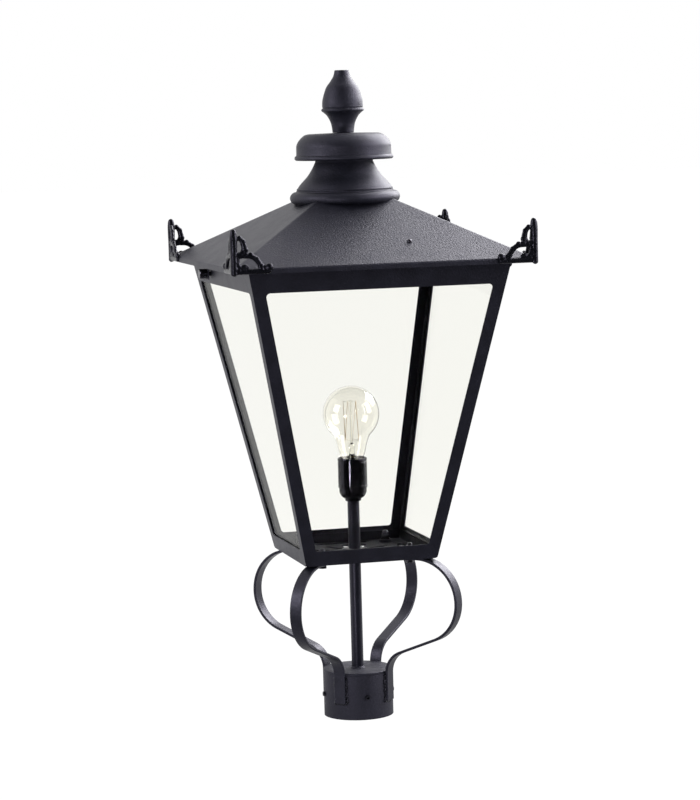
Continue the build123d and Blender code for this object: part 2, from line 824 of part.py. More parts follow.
def finial_stalk(end):
    """Concave flank from the finial's foot up to a point under the bead."""
    start = (finial_foot_radius, finial_foot)
    across, rise = end[0] - start[0], end[1] - start[1]
    middle = [(start[0] + share * across, start[1] + height * rise) for share, height in stalk_curve]
    return Spline(start, *middle, end, tangents=[(0.1, 1), (1, 0.6)])


def finial_flank(start, end):
    """Tapering flank from the bulb's foot up to the tip."""
    rise = finial_top - finial_bead_height
    middle = [(share * finial_bulb_radius, finial_bead_height + height * rise) for share, height in finial_curve]
    return Spline(start, *middle, end, tangents=[(0, 1), (-0.12, 1)])


def finial():
    """Cast finial: a foot, a concave stalk, a bead and a tapering bulb."""
    bead = finial_bead_height
    groove = finial_bulb_radius - 0.4
    tip = finial_tip_radius
    recess = finial_tip_radius - 2.2
    recess_foot = finial_top - finial_tip_recess
    bulb_foot = (finial_bulb_radius, bead + 2.8)
    tip_foot = (tip + 0.3, finial_top - 1.2)
    outline = [
        Line((0, finial_foot), (finial_foot_radius, finial_foot)),
        finial_stalk((groove, bead - 2.0)),
        ThreePointArc((groove, bead - 2.0), (finial_bead_radius, bead), (groove, bead + 1.8)),
        Line((groove, bead + 1.8), bulb_foot),
        finial_flank(bulb_foot, tip_foot),
        Polyline(tip_foot, (tip, finial_top), (recess, finial_top), (recess, recess_foot), (0, recess_foot),
                 (0, finial_foot)),
    ]
    return spun(*outline) - rod(rod_radius + running_gap, finial_foot - 1, rod_top + running_gap)


def finial_rod():
    """Threaded rod from under the spider up into the finial, with its nut."""
    nut_top = chimney_top - chimney_wall - fit_gap - spider_thickness - running_gap
    nut_foot = nut_top - rod_nut_height
    nut = hexagon(rod_nut_flats, nut_foot, nut_top) - rod(rod_radius + running_gap, 0, finial_top)
    return Part() + [rod(rod_radius, nut_foot - rod_tail, rod_top), nut]


# ---------------------------------------------------------------- corner ornaments
def disc(place):
    """Flat disc from its (distance, height, radius)."""
    return Pos(place[0], place[1]) * Circle(place[2])


def wing_loop():
    """Tall loop beside the post, with its slot cut out."""
    start, end = loop_outline[0], loop_outline[-1]
    crown = Spline(*loop_outline, tangents=[(1, 0.6), (0, -1)])
    foot = Polyline(end, (end[0], ornament_base), (start[0], ornament_base), start)
    slot = make_hull(disc(loop_slot[0]).edges() + disc(loop_slot[1]).edges())
    return make_face(Curve() + [crown, foot]) - slot


def wing_arch():
    """Low arch with its opening."""
    arch = Pos(arch_middle, arch_foot) * Ellipse(arch_half, arch_top - arch_foot)
    arch &= Pos(arch_middle, arch_top / 2) * Rectangle(2 * arch_half, arch_top)
    return arch


def ornament_wing():
    """Openwork outline of one wing."""
    length = end_ball[0]
    base = Pos(length / 2, ornament_base / 2) * Rectangle(length, ornament_base)
    post = Pos(post_width / 2, post_height / 2) * Rectangle(post_width, post_height)
    post = fillet(post.vertices().group_by(Axis.Y)[-1], post_width * 0.45)
    middle, height, half, rise = arch_hole
    wing = wing_loop() + wing_arch() - Pos(middle, height) * Ellipse(half, rise)
    return wing + base + post + disc(inner_curl) + disc(end_curl) + disc(end_ball)


def ornament_side():
    """One cast wing standing up, its outer end on the origin and running towards -X."""
    return Plane.XZ * extrude(mirror(ornament_wing(), about=Plane.YZ), amount=ornament_thickness)


def ornament_spike():
    """Round spike on the corner's upright edge, with a rounded tip."""
    spike = rod(spike_radius, body_top, body_top + spike_height - spike_tip)
    tip = spun(
        Line((0, 0), (spike_radius, 0)),
        Spline((spike_radius, 0), (spike_radius * 0.8, spike_tip * 0.6), (0, spike_tip), tangents=[(0, 1), (-1, 0)]),
        Line((0, spike_tip), (0, 0)),
    )
    return spike + Pos(0, 0, body_top + spike_height - spike_tip) * tip


def ornament():
    """Cast corner ornament on the roof's lip, at the (+X, -Y) corner."""
    seat = roof_half + running_gap
    front = Pos(seat + ornament_thickness, -seat, body_top) * ornament_side()
    side = Pos(seat, -seat, 0) * Rot(0, 0, -90) * mirror(Pos(-seat, seat, 0) * front, about=Plane.XZ)
    middle = seat + ornament_thickness - post_width / 2
    spike = Pos(middle, -middle, 0) * ornament_spike()
    corner = Pos(middle, -middle, 0) * rod(ornament_thickness, body_top, body_top + arch_top)
    room_height = roof_lip + ornament_thickness * roof_slope + 1
    roof_room = Pos(0, 0, body_top - 1) * Box(2 * seat, 2 * seat, room_height, align=BOTTOM)
    return front + side + spike + corner - roof_room


# ---------------------------------------------------------------- hinges and catch
def hinge_span(low, high, radius):
    """Round bar along Y on the hinge axis, between two distances from the hinge's middle."""
    return bar_between((hinge_reach, low, hinge_height), (hinge_reach, high, hinge_height), radius)


def both_hinges(shape):
    """The two hinges' copies of a piece made about the middle."""
    return Part() + [Pos(0, side * hinge_offset, 0) * shape for side in (-1, 1)]


def hinge_body_leaf():
    """Leaf on the body's +X face with the two outer knuckles."""
    low = hinge_height - leaf_drop
    high = hinge_height
    seat_low, seat_high = body_half(low) + running_gap, body_half(high) + running_gap
    outline = Polygon((seat_low, low), (seat_low + leaf_thickness, low),
                      (body_half(high - leaf_thickness) + running_gap + leaf_thickness, high - leaf_thickness),
                      (hinge_reach, high - leaf_thickness), (hinge_reach, high), (seat_high, high), align=None)
    leaf = extrude(Plane.XZ * outline, amount=hinge_length / 2, both=True)
    leaf += hinge_span(-hinge_length / 2, hinge_length / 2, knuckle_radius)
    middle = hinge_length / 2
    window = Box(4 * knuckle_radius, middle, 4 * knuckle_radius)
    leaf -= Pos(hinge_reach + knuckle_radius, 0, hinge_height) * window
    return leaf - hinge_span(-hinge_length, hinge_length, hinge_pin_radius + 0.01)


def hinge_roof_leaf():
    """Leaf under the roof with the middle knuckle."""
    knuckle_half = hinge_length / 4 - face_gap
    left, right = hinge_reach - leaf_thickness / 2, hinge_reach + leaf_thickness / 2
    inner = hinge_reach - leaf_flange
    high_foot = hinge_height + knuckle_radius + 3 * running_gap + 0.6
    gap = running_gap
    drop = leaf_thickness * math.hypot(1.0, roof_slope)
    flange = Polygon((left, high_foot), (right, high_foot), (right, under_roof(right) - gap),
                     (inner, under_roof(inner) - gap), (inner, under_roof(inner) - gap - drop),
                     (left, under_roof(left) - gap - drop), align=None)
    leaf = extrude(Plane.XZ * flange, amount=hinge_length / 2, both=True)
    web = Box(leaf_thickness, 2 * knuckle_half, high_foot - hinge_height + 1, align=BOTTOM)
    leaf += Pos(hinge_reach, 0, hinge_height) * web + hinge_span(-knuckle_half, knuckle_half, knuckle_radius)
    return leaf - hinge_span(-hinge_length, hinge_length, hinge_pin_radius + running_gap)


def catch_tab():
    """Tab under the roof whose open slot drops over the catch's shank."""
    outer = -(flange_half + face_gap)
    low = catch_height - catch_tab_drop
    inner_end = -(web_half + sheet + fit_gap)
    front = outer - catch_tab_thickness
    drop = catch_tab_thickness * math.hypot(1.0, roof_slope)
    section = Polygon(
        (front, low),
        (outer, low),
        (outer, under_roof(-outer) - running_gap - drop),
        (inner_end, under_roof(-inner_end) - running_gap - drop),
        (inner_end, under_roof(-inner_end) - running_gap),
        (front, under_roof(-front) - running_gap),
        align=None,
    )
    tab = Pos(0, catch_along, 0) * extrude(Plane.XZ * section, amount=catch_tab_width / 2, both=True)
    slot_half = bolt_radius + face_gap
    middle = outer - catch_tab_thickness / 2
    tab -= bar_between((middle - 3, catch_along, catch_height), (middle + 3, catch_along, catch_height), slot_half)
    return tab - Pos(middle, catch_along, low - 1) * Box(6, 2 * slot_half, catch_tab_drop + 1, align=BOTTOM)


def catch_axis(start, end, radius):
    """Round bar along X on the catch's axis."""
    return bar_between((start, catch_along, catch_height), (end, catch_along, catch_height), radius)


def catch_outside():
    """X of the tab's outer face."""
    return -(flange_half + face_gap + catch_tab_thickness)


def catch_washer():
    """Washer between the tab and the catch's head."""
    inner = catch_outside() - face_gap
    washer = catch_axis(inner - catch_washer_thickness, inner, catch_head_radius)
    return washer - catch_axis(inner - 5, inner + 5, bolt_radius + running_gap)


def catch_knob():
    """Thumb screw: a round head and a threaded shank through the -X face."""
    inner = catch_outside() - face_gap - catch_washer_thickness - running_gap
    head = catch_axis(inner - catch_head_length, inner, catch_head_radius)
    head = chamfer(head.edges().group_by(Axis.X)[0], 0.8)
    return head + catch_axis(inner, -body_half(catch_height) + catch_bush_length, bolt_radius)


# ---------------------------------------------------------------- all nodes
def build_mount():
    """Write the collar, stem, straps and base."""
    save(collar_tube(), "collar_tube")
    save(collar_lid(), "collar_lid")
    save(stem_tube(), "stem_tube")
    save(stem_nut(), "stem_nut")
    one_strap = strap()
    for turns, side in enumerate(sides):
        save(quarter(set_screw(), turns), f"set_screw_{side}")
    for turns, corner in enumerate(corners):
        save(on_corner(one_strap, turns), f"strap_{corner}")
    save(at_bolts(strap_bolt()), "strap_bolts")
    save(at_bolts(strap_washer()), "strap_washers")
    save(at_bolts(dome_nut()), "dome_nuts")
    save(base_tray(), "base_tray")
    save(stem_rosette(), "stem_rosette")


def build_body():
    """Write the glazed body."""
    frame, pane, retainer = side_frame(), glass_pane(), corner_retainer()
    for turns, side in enumerate(sides):
        panel = quarter(frame, turns)
        if side == "left":
            panel = panel + catch_bush() - catch_shank_hole()
        save(panel, f"side_frame_{side}")
        save(quarter(pane, turns), f"glass_pane_{side}")
    for turns, corner in enumerate(corners):
        save(quarter(retainer, turns + 1), f"pane_retainer_{corner}")


def build_lamp():
    """Write the lamp holder and the lamp."""
    save(holder_cap(), "holder_cap")
    save(holder_barrel(), "holder_barrel")
    save(holder_skirt(), "holder_skirt")
    save(contact_plunger(-1), "contact_plunger_front")
    save(contact_plunger(1), "contact_plunger_back")
    save(bulb_glass(), "bulb_glass")
    save(lamp_cap(), "bulb_cap")
    save(lamp_base(), "bulb_base")
    save(lamp_mount(), "bulb_mount")
    save(filament_supports(), "filament_supports")
    save(filament(), "filament")


def build_roof():
    """Write the roof, chimney, finial and ornaments."""
    save(roof_shell(), "roof_shell")
    save(roof_seat_frame(), "roof_seat_frame")
    save(roof_rivets(), "roof_rivets")
    save(chimney_base(), "chimney_base")
    save(chimney_neck(), "chimney_neck")
    save(chimney_spider(), "chimney_spider")
    save(vent_cap(), "vent_cap")
    save(finial(), "finial")
    save(finial_rod(), "finial_rod")
    piece = ornament()
    for turns, corner in enumerate(corners):
        save(quarter(piece, turns), f"ornament_{corner}")


def build_hinges():
    """Write the hinges and the catch."""
    save(both_hinges(hinge_roof_leaf()), "hinge_roof_leaves")
    save(both_hinges(hinge_body_leaf()), "hinge_body_leaves")
    save(both_hinges(hinge_span(-hinge_length / 2, hinge_length / 2, hinge_pin_radius)), "hinge_pins")
    save(catch_tab(), "catch_tab")
    save(catch_washer(), "catch_washer")
    save(catch_knob(), "catch_knob")


os.makedirs("parts", exist_ok=True)
build_mount()
build_body()
build_lamp()
build_roof()
build_hinges()
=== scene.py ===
"""Dresses the post top lantern: studio, finishes and the pieces that need finer shapes."""

import logging
import math
import random
from collections.abc import Callable, Iterator, Sequence
from contextlib import contextmanager
from dataclasses import dataclass
from enum import Enum
from typing import Any

import bmesh
import bpy
from mathutils import Matrix, Vector

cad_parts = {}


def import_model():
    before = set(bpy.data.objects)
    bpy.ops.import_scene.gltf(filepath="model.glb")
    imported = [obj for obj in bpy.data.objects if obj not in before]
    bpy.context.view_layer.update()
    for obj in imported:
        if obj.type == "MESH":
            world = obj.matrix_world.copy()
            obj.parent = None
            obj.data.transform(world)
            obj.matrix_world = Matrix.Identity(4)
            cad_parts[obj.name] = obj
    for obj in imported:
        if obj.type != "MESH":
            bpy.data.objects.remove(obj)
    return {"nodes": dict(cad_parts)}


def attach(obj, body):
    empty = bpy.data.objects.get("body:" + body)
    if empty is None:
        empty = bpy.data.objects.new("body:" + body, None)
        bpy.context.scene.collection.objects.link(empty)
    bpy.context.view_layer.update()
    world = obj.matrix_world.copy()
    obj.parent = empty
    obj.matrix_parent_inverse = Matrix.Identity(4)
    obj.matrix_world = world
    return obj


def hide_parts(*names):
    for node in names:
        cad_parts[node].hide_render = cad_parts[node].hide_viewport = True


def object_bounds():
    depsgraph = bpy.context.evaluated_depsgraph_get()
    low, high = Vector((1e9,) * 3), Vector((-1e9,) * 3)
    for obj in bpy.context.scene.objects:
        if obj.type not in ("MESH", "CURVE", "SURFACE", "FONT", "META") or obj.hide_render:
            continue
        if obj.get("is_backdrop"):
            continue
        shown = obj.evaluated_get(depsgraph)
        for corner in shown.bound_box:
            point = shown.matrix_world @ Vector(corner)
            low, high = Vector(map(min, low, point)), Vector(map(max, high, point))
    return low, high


LOG = logging.getLogger("lantern")
MM = 0.001
SIDES = ("front", "right", "back", "left")
CORNERS = ("front_right", "back_right", "back_left", "front_left")

Piece = bpy.types.Object
Node = bpy.types.Node
Tree = bpy.types.NodeTree
Source = tuple[Node, Any]
Point = tuple[float, float]
Triple = tuple[float, float, float]

# Sizes in millimetres that several pieces share; the slope is the roof's rise over its run.
STRAP_FOOT = 18.0
ROOF_HALF = 156.5
LIP_TOP = 489.5
ROOF_SLOPE = 0.527
ROOF_APEX = LIP_TOP + ROOF_HALF * ROOF_SLOPE

# Vertices closer together than this many metres become one.
MERGE = 0.002 * MM

# Material slots of the finishes that aren't the plain powder coat.
SLOTS = {
    "SPUN": "black_powder_coat_spun",
    "BAR": "black_steel_bar",
    "CASTING": "black_gloss_cast",
    "FASTENER": "black_fastener",
    "MOULDING": "phenolic",
    "PANE": "pane",
    "LAMP_GLASS": "bulb_clear",
    "BRASS": "brass_cap",
    "ZINC": "zinc",
    "NICKEL": "support_wire",
    "TUNGSTEN": "filament_wire",
}


# --- node helpers
def srgb(code: str) -> tuple[float, float, float, float]:
    """Turn an sRGB hex colour into linear RGBA.

    Args:
        code: Colour such as "#1A1B1D".

    Returns:
        Linear red, green, blue and an alpha of 1.
    """
    parts = [int(code[i : i + 2], 16) / 255 for i in (1, 3, 5)]
    linear = [p / 12.92 if p <= 0.04045 else ((p + 0.055) / 1.055) ** 2.4 for p in parts]
    return (*linear, 1.0)


def add_node(
    tree: Tree,
    kind: str,
    settings: dict[str, Any] | None = None,
    links: dict[Any, Source] | None = None,
) -> Node:
    """Add a node with its settings and its incoming links.

    Args:
        tree: The node tree.
        kind: The node's bl_idname.
        settings: Input values by socket name, or properties by attribute name.
        links: Source node and output for each input socket.

    Returns:
        The new node.
    """
    node = tree.nodes.new(kind)
    for key, value in (settings or {}).items():
        if key in node.inputs:
            node.inputs[key].default_value = value
        else:
            setattr(node, key, value)
    for socket, (source, output) in (links or {}).items():
        tree.links.new(source.outputs[output], node.inputs[socket])
    return node


def add_math(tree: Tree, operation: str, *sources: Source, clamp: bool = False) -> Node:
    """Add a math node that works on its sources in order."""
    settings = {"operation": operation, "use_clamp": clamp}
    return add_node(tree, "ShaderNodeMath", settings, dict(enumerate(sources)))


def add_noise(
    tree: Tree, place: Source, size_mm: float, detail: float, roughness: float = 0.5
) -> Node:
    """Add a noise texture with lumps of size_mm."""
    settings = {"Scale": 1 / (size_mm * MM), "Detail": detail, "Roughness": roughness}
    return add_node(tree, "ShaderNodeTexNoise", settings, {"Vector": place})


def add_spread(tree: Tree, noise: Node, low: float, high: float) -> Node:
    """Spread the middle of a noise's range from low to high."""
    settings = {"From Min": 0.3, "From Max": 0.7, "To Min": low, "To Max": high}
    return add_node(tree, "ShaderNodeMapRange", settings, {"Value": (noise, "Fac")})


def add_bump(tree: Tree, noise: Node, depth_mm: float, strength: float) -> Node:
    """Add a bump from a noise; strength is the share of its depth that shows."""
    settings = {"Strength": strength, "Distance": depth_mm * MM}
    return add_node(tree, "ShaderNodeBump", settings, {"Height": (noise, "Fac")})


def blank_material(name: str) -> tuple[bpy.types.Material, Tree]:
    """Make a material with an empty node tree.

    Args:
        name: The material's name.

    Returns:
        The material and its node tree.
    """
    material = bpy.data.materials.new(name)
    material.use_nodes = True
    material.node_tree.nodes.clear()
    return material, material.node_tree


def close_material(tree: Tree, shader: Node) -> None:
    """Link a shader's first output to the material's surface."""
    add_node(tree, "ShaderNodeOutputMaterial", links={"Surface": (shader, 0)})


# --- finishes
@dataclass(frozen=True)
class PowderCoat:
    """Baked powder coat: a satin skin with a fine orange-peel grain and cloudy sheen."""

    name: str
    colour: str
    cloud_colour: str
    rough_low: float
    rough_high: float
    grain_mm: float
    grain_depth_mm: float
    cloud_mm: float
    gloss: float = 0.5

    def material(self) -> bpy.types.Material:
        """Build the node tree.

        Returns:
            The finished material.
        """
        material, tree = blank_material(self.name)
        place = (add_node(tree, "ShaderNodeTexCoord"), "Object")
        cloud = add_noise(tree, place, self.cloud_mm, 3.0, 0.6)
        grain = add_noise(tree, place, self.grain_mm, 2.0, 0.55)
        tint = add_node(tree, "ShaderNodeValToRGB", links={"Fac": (cloud, "Fac")})
        first, last = tint.color_ramp.elements
        first.position, first.color = 0.35, srgb(self.colour)
        last.position, last.color = 0.7, srgb(self.cloud_colour)
        sheen = add_spread(tree, cloud, self.rough_low, self.rough_high)
        peel = add_bump(tree, grain, self.grain_depth_mm, 1.0)
        shader = add_node(
            tree,
            "ShaderNodeBsdfPrincipled",
            {
                "Metallic": 0.0,
                "IOR": 1.5,
                "Specular IOR Level": self.gloss,
                "Specular Tint": srgb("#E6E0FF"),
            },
            {
                "Base Color": (tint, "Color"),
                "Roughness": (sheen, "Result"),
                "Normal": (peel, "Normal"),
            },
        )
        close_material(tree, shader)
        return material


@dataclass(frozen=True)
class ClearGlass:
    """Float or blown glass: smooth, with a trace of colour in its depth."""

    name: str
    colour: str
    ior: float
    ripple_mm: float = 60.0
    ripple_depth_mm: float = 0.01

    def material(self) -> bpy.types.Material:
        """Build the node tree.

        Returns:
            The finished material.
        """
        material, tree = blank_material(self.name)
        place = (add_node(tree, "ShaderNodeTexCoord"), "Object")
        ripple = add_noise(tree, place, self.ripple_mm, 1.0)
        wave = add_bump(tree, ripple, self.ripple_depth_mm, 0.4)
        shader = add_node(
            tree,
            "ShaderNodeBsdfPrincipled",
            {
                "Base Color": srgb(self.colour),
                "Roughness": 0.0,
                "IOR": self.ior,
                "Transmission Weight": 1.0,
            },
            {"Normal": (wave, "Normal")},
        )
        close_material(tree, shader)
        return material


@dataclass(frozen=True)
class DrawnMetal:
    """Bare metal with the fine lines that drawing or turning leaves."""

    name: str
    colour: str
    roughness: float
    line_mm: float = 0.25
    line_depth_mm: float = 0.01

    def material(self) -> bpy.types.Material:
        """Build the node tree.

        Returns:
            The finished material.
        """
        material, tree = blank_material(self.name)
        place = (add_node(tree, "ShaderNodeTexCoord"), "Object")
        narrow = {"Scale": (0.08, 0.08, 1.0)}
        stretch = add_node(tree, "ShaderNodeMapping", narrow, {"Vector": place})
        lines = add_noise(tree, (stretch, "Vector"), self.line_mm, 3.0)
        wear = add_spread(tree, lines, self.roughness * 0.7, self.roughness * 1.35)
        groove = add_bump(tree, lines, self.line_depth_mm, 0.5)
        shader = add_node(
            tree,
            "ShaderNodeBsdfPrincipled",
            {"Base Color": srgb(self.colour), "Metallic": 1.0},
            {"Roughness": (wear, "Result"), "Normal": (groove, "Normal")},
        )
        close_material(tree, shader)
        return material


class Finish(Enum):
    """The finishes of the lantern, each made once."""

    # Polyester powder sprayed and baked on folded mild steel: satin black, faintly blue where it
    # mirrors the room, with a fine orange peel. The real grain is near 0.6 mm; it is drawn three
    # times as coarse, so that it shows.
    SHEET = PowderCoat(
        "powder_coat_on_folded_sheet", "#0A0C12", "#0F1119", 0.45, 0.51,
        grain_mm=1.8, grain_depth_mm=0.36, cloud_mm=20.0,
    )
    # The same powder over a dressed weld and a sawn tube: duller, so the collar's top doesn't
    # flare. Grain drawn coarse, as above.
    WELDED = PowderCoat(
        "powder_coat_on_welded_tube", "#0A0C12", "#10121A", 0.56, 0.66,
        grain_mm=2.0, grain_depth_mm=0.34, cloud_mm=12.0,
    )
    # The sheet's powder made darker and nearly matt for the parts inside the body: painted shade
    # for the dim inside of the lantern. Grain drawn coarse, as above.
    INSIDE = PowderCoat(
        "powder_coat_inside_body_painted_shade", "#08090D", "#0C0D13", 0.66, 0.76,
        grain_mm=2.0, grain_depth_mm=0.3, cloud_mm=16.0, gloss=0.2,
    )
    # Powder on spun sheet: its sheen drifts round the curves in clouds of about 16 mm. Grain
    # drawn coarse, as above.
    SPUN = PowderCoat(
        "powder_coat_on_spun_sheet", "#0A0C12", "#0F1119", 0.50, 0.56,
        grain_mm=1.7, grain_depth_mm=0.3, cloud_mm=16.0,
    )
    # Powder on rolled flat bar, a little glossier along its bends. Grain drawn coarse, as above.
    BAR = PowderCoat(
        "powder_coat_on_rolled_bar", "#0B0D13", "#0F1119", 0.38, 0.48,
        grain_mm=1.7, grain_depth_mm=0.2, cloud_mm=10.0,
    )
    # Powder on smooth drawn tube: a narrow streak of light down the stem. Grain drawn coarse, as
    # above.
    TUBE = PowderCoat(
        "powder_coat_on_drawn_tube", "#0B0C13", "#0F1119", 0.32, 0.40,
        grain_mm=1.5, grain_depth_mm=0.1, cloud_mm=10.0,
    )
    # Gloss enamel run over sand-cast iron: deep black with small soft glints on the sand's
    # 2 mm lumps.
    CASTING = PowderCoat(
        "gloss_enamel_on_sand_cast_iron", "#06070A", "#0B0C10", 0.24, 0.34,
        grain_mm=2.2, grain_depth_mm=0.05, cloud_mm=6.0, gloss=0.3,
    )
    # Black zinc plating on turned steel: small hard glints on heads and edges.
    FASTENER = PowderCoat(
        "black_plating_on_turned_steel", "#08090B", "#0D0E11", 0.18, 0.3,
        grain_mm=0.8, grain_depth_mm=0.012, cloud_mm=5.0,
    )
    # Phenolic pressed in a polished mould: jet black and nearly mirror smooth, with a crisp
    # streak down its side.
    MOULDING = PowderCoat(
        "phenolic_pressed_in_polished_mould", "#040405", "#070708", 0.08, 0.16,
        grain_mm=3.0, grain_depth_mm=0.01, cloud_mm=12.0,
    )
    # Float glass, faintly warm. Its IOR is set far below glass's 1.5: at the left pane's flat
    # angle real glass mirrors the backdrop over the post behind it, and the photograph's doesn't.
    PANE = ClearGlass("float_glass", "#FAFAF7", ior=1.05)
    # Blown soda glass: bright spots and a thin drawn edge, with 18 mm ripples from the mould.
    LAMP_GLASS = ClearGlass(
        "blown_soda_glass", "#FFFEFA", ior=1.45, ripple_mm=18.0, ripple_depth_mm=0.03
    )
    # Brass drawn into a thin cap: warm yellow with fine drawing lines.
    BRASS = DrawnMetal("drawn_brass", "#C9A35C", 0.28)
    # Zinc plated on turned steel: cool grey, half dull.
    ZINC = DrawnMetal("zinc_plating_on_turned_steel", "#B9BCC2", 0.35)
    # Nickel wire: pale, thin, nearly lost against the light.
    NICKEL = DrawnMetal("drawn_nickel_wire", "#D6D4CC", 0.3)
    # Drawn tungsten: a thin brownish line in the lamp.
    TUNGSTEN = DrawnMetal("drawn_tungsten_wire", "#C7A26A", 0.45)

    @property
    def slot(self) -> str:
        """The record's material slot."""
        return SLOTS.get(self.name, "black_powder_coat")

    @property
    def made(self) -> bpy.types.Material:
        """The Blender material, built on first use."""
        return bpy.data.materials.get(self.value.name) or self.value.material()


# --- bench tools
def added(operator: Callable[..., Any], **settings: Any) -> Piece:
    """Add an object with one of Blender's operators while nothing is selected.

    Args:
        operator: The operator that adds it.
        **settings: The operator's settings.

    Returns:
        The new object.
    """
    bpy.ops.object.select_all(action="DESELECT")
    operator(**settings)
    return bpy.context.object


def take(piece: Piece) -> None:
    """Select one piece alone and make it active.

    Args:
        piece: The object to work on.
    """
    bpy.ops.object.select_all(action="DESELECT")
    piece.select_set(True)
    bpy.context.view_layer.objects.active = piece


@contextmanager
def edit(piece: Piece) -> Iterator[None]:
    """Work on a piece in edit mode with everything selected at the start.

    Args:
        piece: The object to edit.

    Yields:
        Nothing; edit mode ends with the block.
    """
    take(piece)
    bpy.ops.object.mode_set(mode="EDIT")
    bpy.ops.mesh.select_mode(type="VERT")
    bpy.ops.mesh.select_all(action="SELECT")
    yield
    bpy.ops.object.mode_set(mode="OBJECT")


def pull(across: float, along: float, up: float) -> None:
    """Extrude what is selected by a move along X, Y and Z in millimetres."""
    move = {"value": (across * MM, along * MM, up * MM)}
    bpy.ops.mesh.extrude_region_move(TRANSFORM_OT_translate=move)


def heal() -> None:
    """Merge doubles and turn all faces outwards, in edit mode."""
    bpy.ops.mesh.select_all(action="SELECT")
    bpy.ops.mesh.remove_doubles(threshold=MERGE)
    bpy.ops.mesh.normals_make_consistent(inside=False)


def settle(piece: Piece) -> None:
    """Bring a piece's place, turn and scale into its mesh."""
    take(piece)
    bpy.ops.object.transform_apply(location=True, rotation=True, scale=True)


def apply_modifier(piece: Piece, kind: str, **settings: Any) -> None:
    """Add a modifier and apply it.

    Args:
        piece: The object to change.
        kind: The modifier's type.
        **settings: Its settings.
    """
    modifier = piece.modifiers.new(kind.lower(), kind)
    for key, value in settings.items():
        setattr(modifier, key, value)
    take(piece)
    bpy.ops.object.modifier_apply(modifier=modifier.name)


def round_edges(piece: Piece, radius: float, segments: int = 2, angle: float = 32.0) -> None:
    """Round a piece's sharp edges.

    Args:
        piece: The object to change.
        radius: Width of the rounding in millimetres.
        segments: Facets across the rounding.
        angle: Edges sharper than this many degrees are rounded.
    """
    limit = {"limit_method": "ANGLE", "angle_limit": math.radians(angle)}
    apply_modifier(piece, "BEVEL", width=radius * MM, segments=segments, **limit)


def flow(*points: Point, spans: int = 6) -> list[Point]:
    """Smooth line through points, with its ends straight on.

    Args:
        *points: Points in millimetres.
        spans: Steps between two points.

    Returns:
        The points of the line.
    """
    ghost = [points[0], *points, points[-1]]
    line = []
    for near in zip(ghost, ghost[1:], ghost[2:], ghost[3:]):
        for step in range(spans):
            t = step / spans
            place = []
            for p, q, r, s in zip(*near):
                square, cube = 2 * p - 5 * q + 4 * r - s, 3 * q - p - 3 * r + s
                place.append(0.5 * (2 * q + (r - p) * t + square * t**2 + cube * t**3))
            line.append(tuple(place))
    return [*line, points[-1]]


def turned(name: str, outline: Sequence[Point], closed: bool = False, steps: int = 96) -> Piece:
    """Turn an outline about the lantern's axis, as on a lathe.

    Args:
        name: The piece's name.
        outline: (radius, height) points in millimetres.
        closed: Whether the last point joins the first.
        steps: Facets round the axis.

    Returns:
        The closed piece.
    """
    points = [*outline, outline[0]] if closed else list(outline)
    radius, height = points[0]
    start = (radius * MM, 0, height * MM)
    piece = added(bpy.ops.mesh.primitive_plane_add, size=MM, location=start)
    piece.name = name
    settle(piece)
    with edit(piece):
        bpy.ops.mesh.merge(type="CENTER")
        for (r0, z0), (r1, z1) in zip(points, points[1:]):
            pull(r1 - r0, 0, z1 - z0)
        bpy.ops.mesh.select_all(action="SELECT")
        bpy.ops.mesh.spin(steps=steps, angle=2 * math.pi, center=(0, 0, 0), axis=(0, 0, 1))
        heal()
    return piece


def copied(piece: Piece, name: str, quarters: int = 0) -> Piece:
    """Copy a piece with its own mesh and turn it about the axis.

    Args:
        piece: The piece to copy.
        name: The copy's name.
        quarters: Quarter turns anticlockwise seen from above.

    Returns:
        The copy, settled.
    """
    twin = bpy.data.objects.new(name, piece.data.copy())
    bpy.context.scene.collection.objects.link(twin)
    twin.rotation_euler = (0, 0, quarters * math.pi / 2)
    settle(twin)
    return twin


def joined(name: str, pieces: Sequence[Piece]) -> Piece:
    """Join pieces into one object.

    Args:
        name: The joined object's name.
        pieces: The pieces; the first one takes in the others.

    Returns:
        The joined object.
    """
    take(pieces[0])
    for piece in pieces[1:]:
        piece.select_set(True)
    bpy.ops.object.join()
    pieces[0].name = name
    return pieces[0]


def traced(node: Piece, name: str) -> Piece:
    """Take a clean copy of a solid's mesh: merged, with flat areas in one face.

    Args:
        node: The frame's solid.
        name: The copy's name.

    Returns:
        The copy, free of the frame.
    """
    piece = bpy.data.objects.new(name, node.data.copy())
    bpy.context.scene.collection.objects.link(piece)
    with edit(piece):
        bpy.ops.mesh.customdata_custom_splitnormals_clear()
        bpy.ops.mesh.remove_doubles(threshold=MERGE)
        bpy.ops.mesh.dissolve_limited(angle_limit=math.radians(0.6))
        bpy.ops.mesh.normals_make_consistent(inside=False)
    return piece


def hand_over(
    piece: Piece, finish: Finish, body: str, stands_for: Sequence[str] = (), smooth: float = 35.0
) -> None:
    """Dress a finished piece and fix it to its body.

    Args:
        piece: The finished piece.
        finish: Its finish.
        body: The body that it rides on.
        stands_for: The frame's solids that it replaces.
        smooth: Angle in degrees below which it is shaded smooth.
    """
    piece.data.materials.clear()
    piece.data.materials.append(finish.made)
    take(piece)
    bpy.ops.object.shade_smooth_by_angle(angle=math.radians(smooth), keep_sharp_edges=False)
    if finish in (Finish.SHEET, Finish.BAR, Finish.INSIDE):
        apply_modifier(piece, "WEIGHTED_NORMAL", mode="FACE_AREA", weight=50, keep_sharp=True)
    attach(piece, body)
    if stands_for:
        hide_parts(*stands_for)
    LOG.info("%s: %d faces, %s", piece.name, len(piece.data.polygons), finish.value.name)


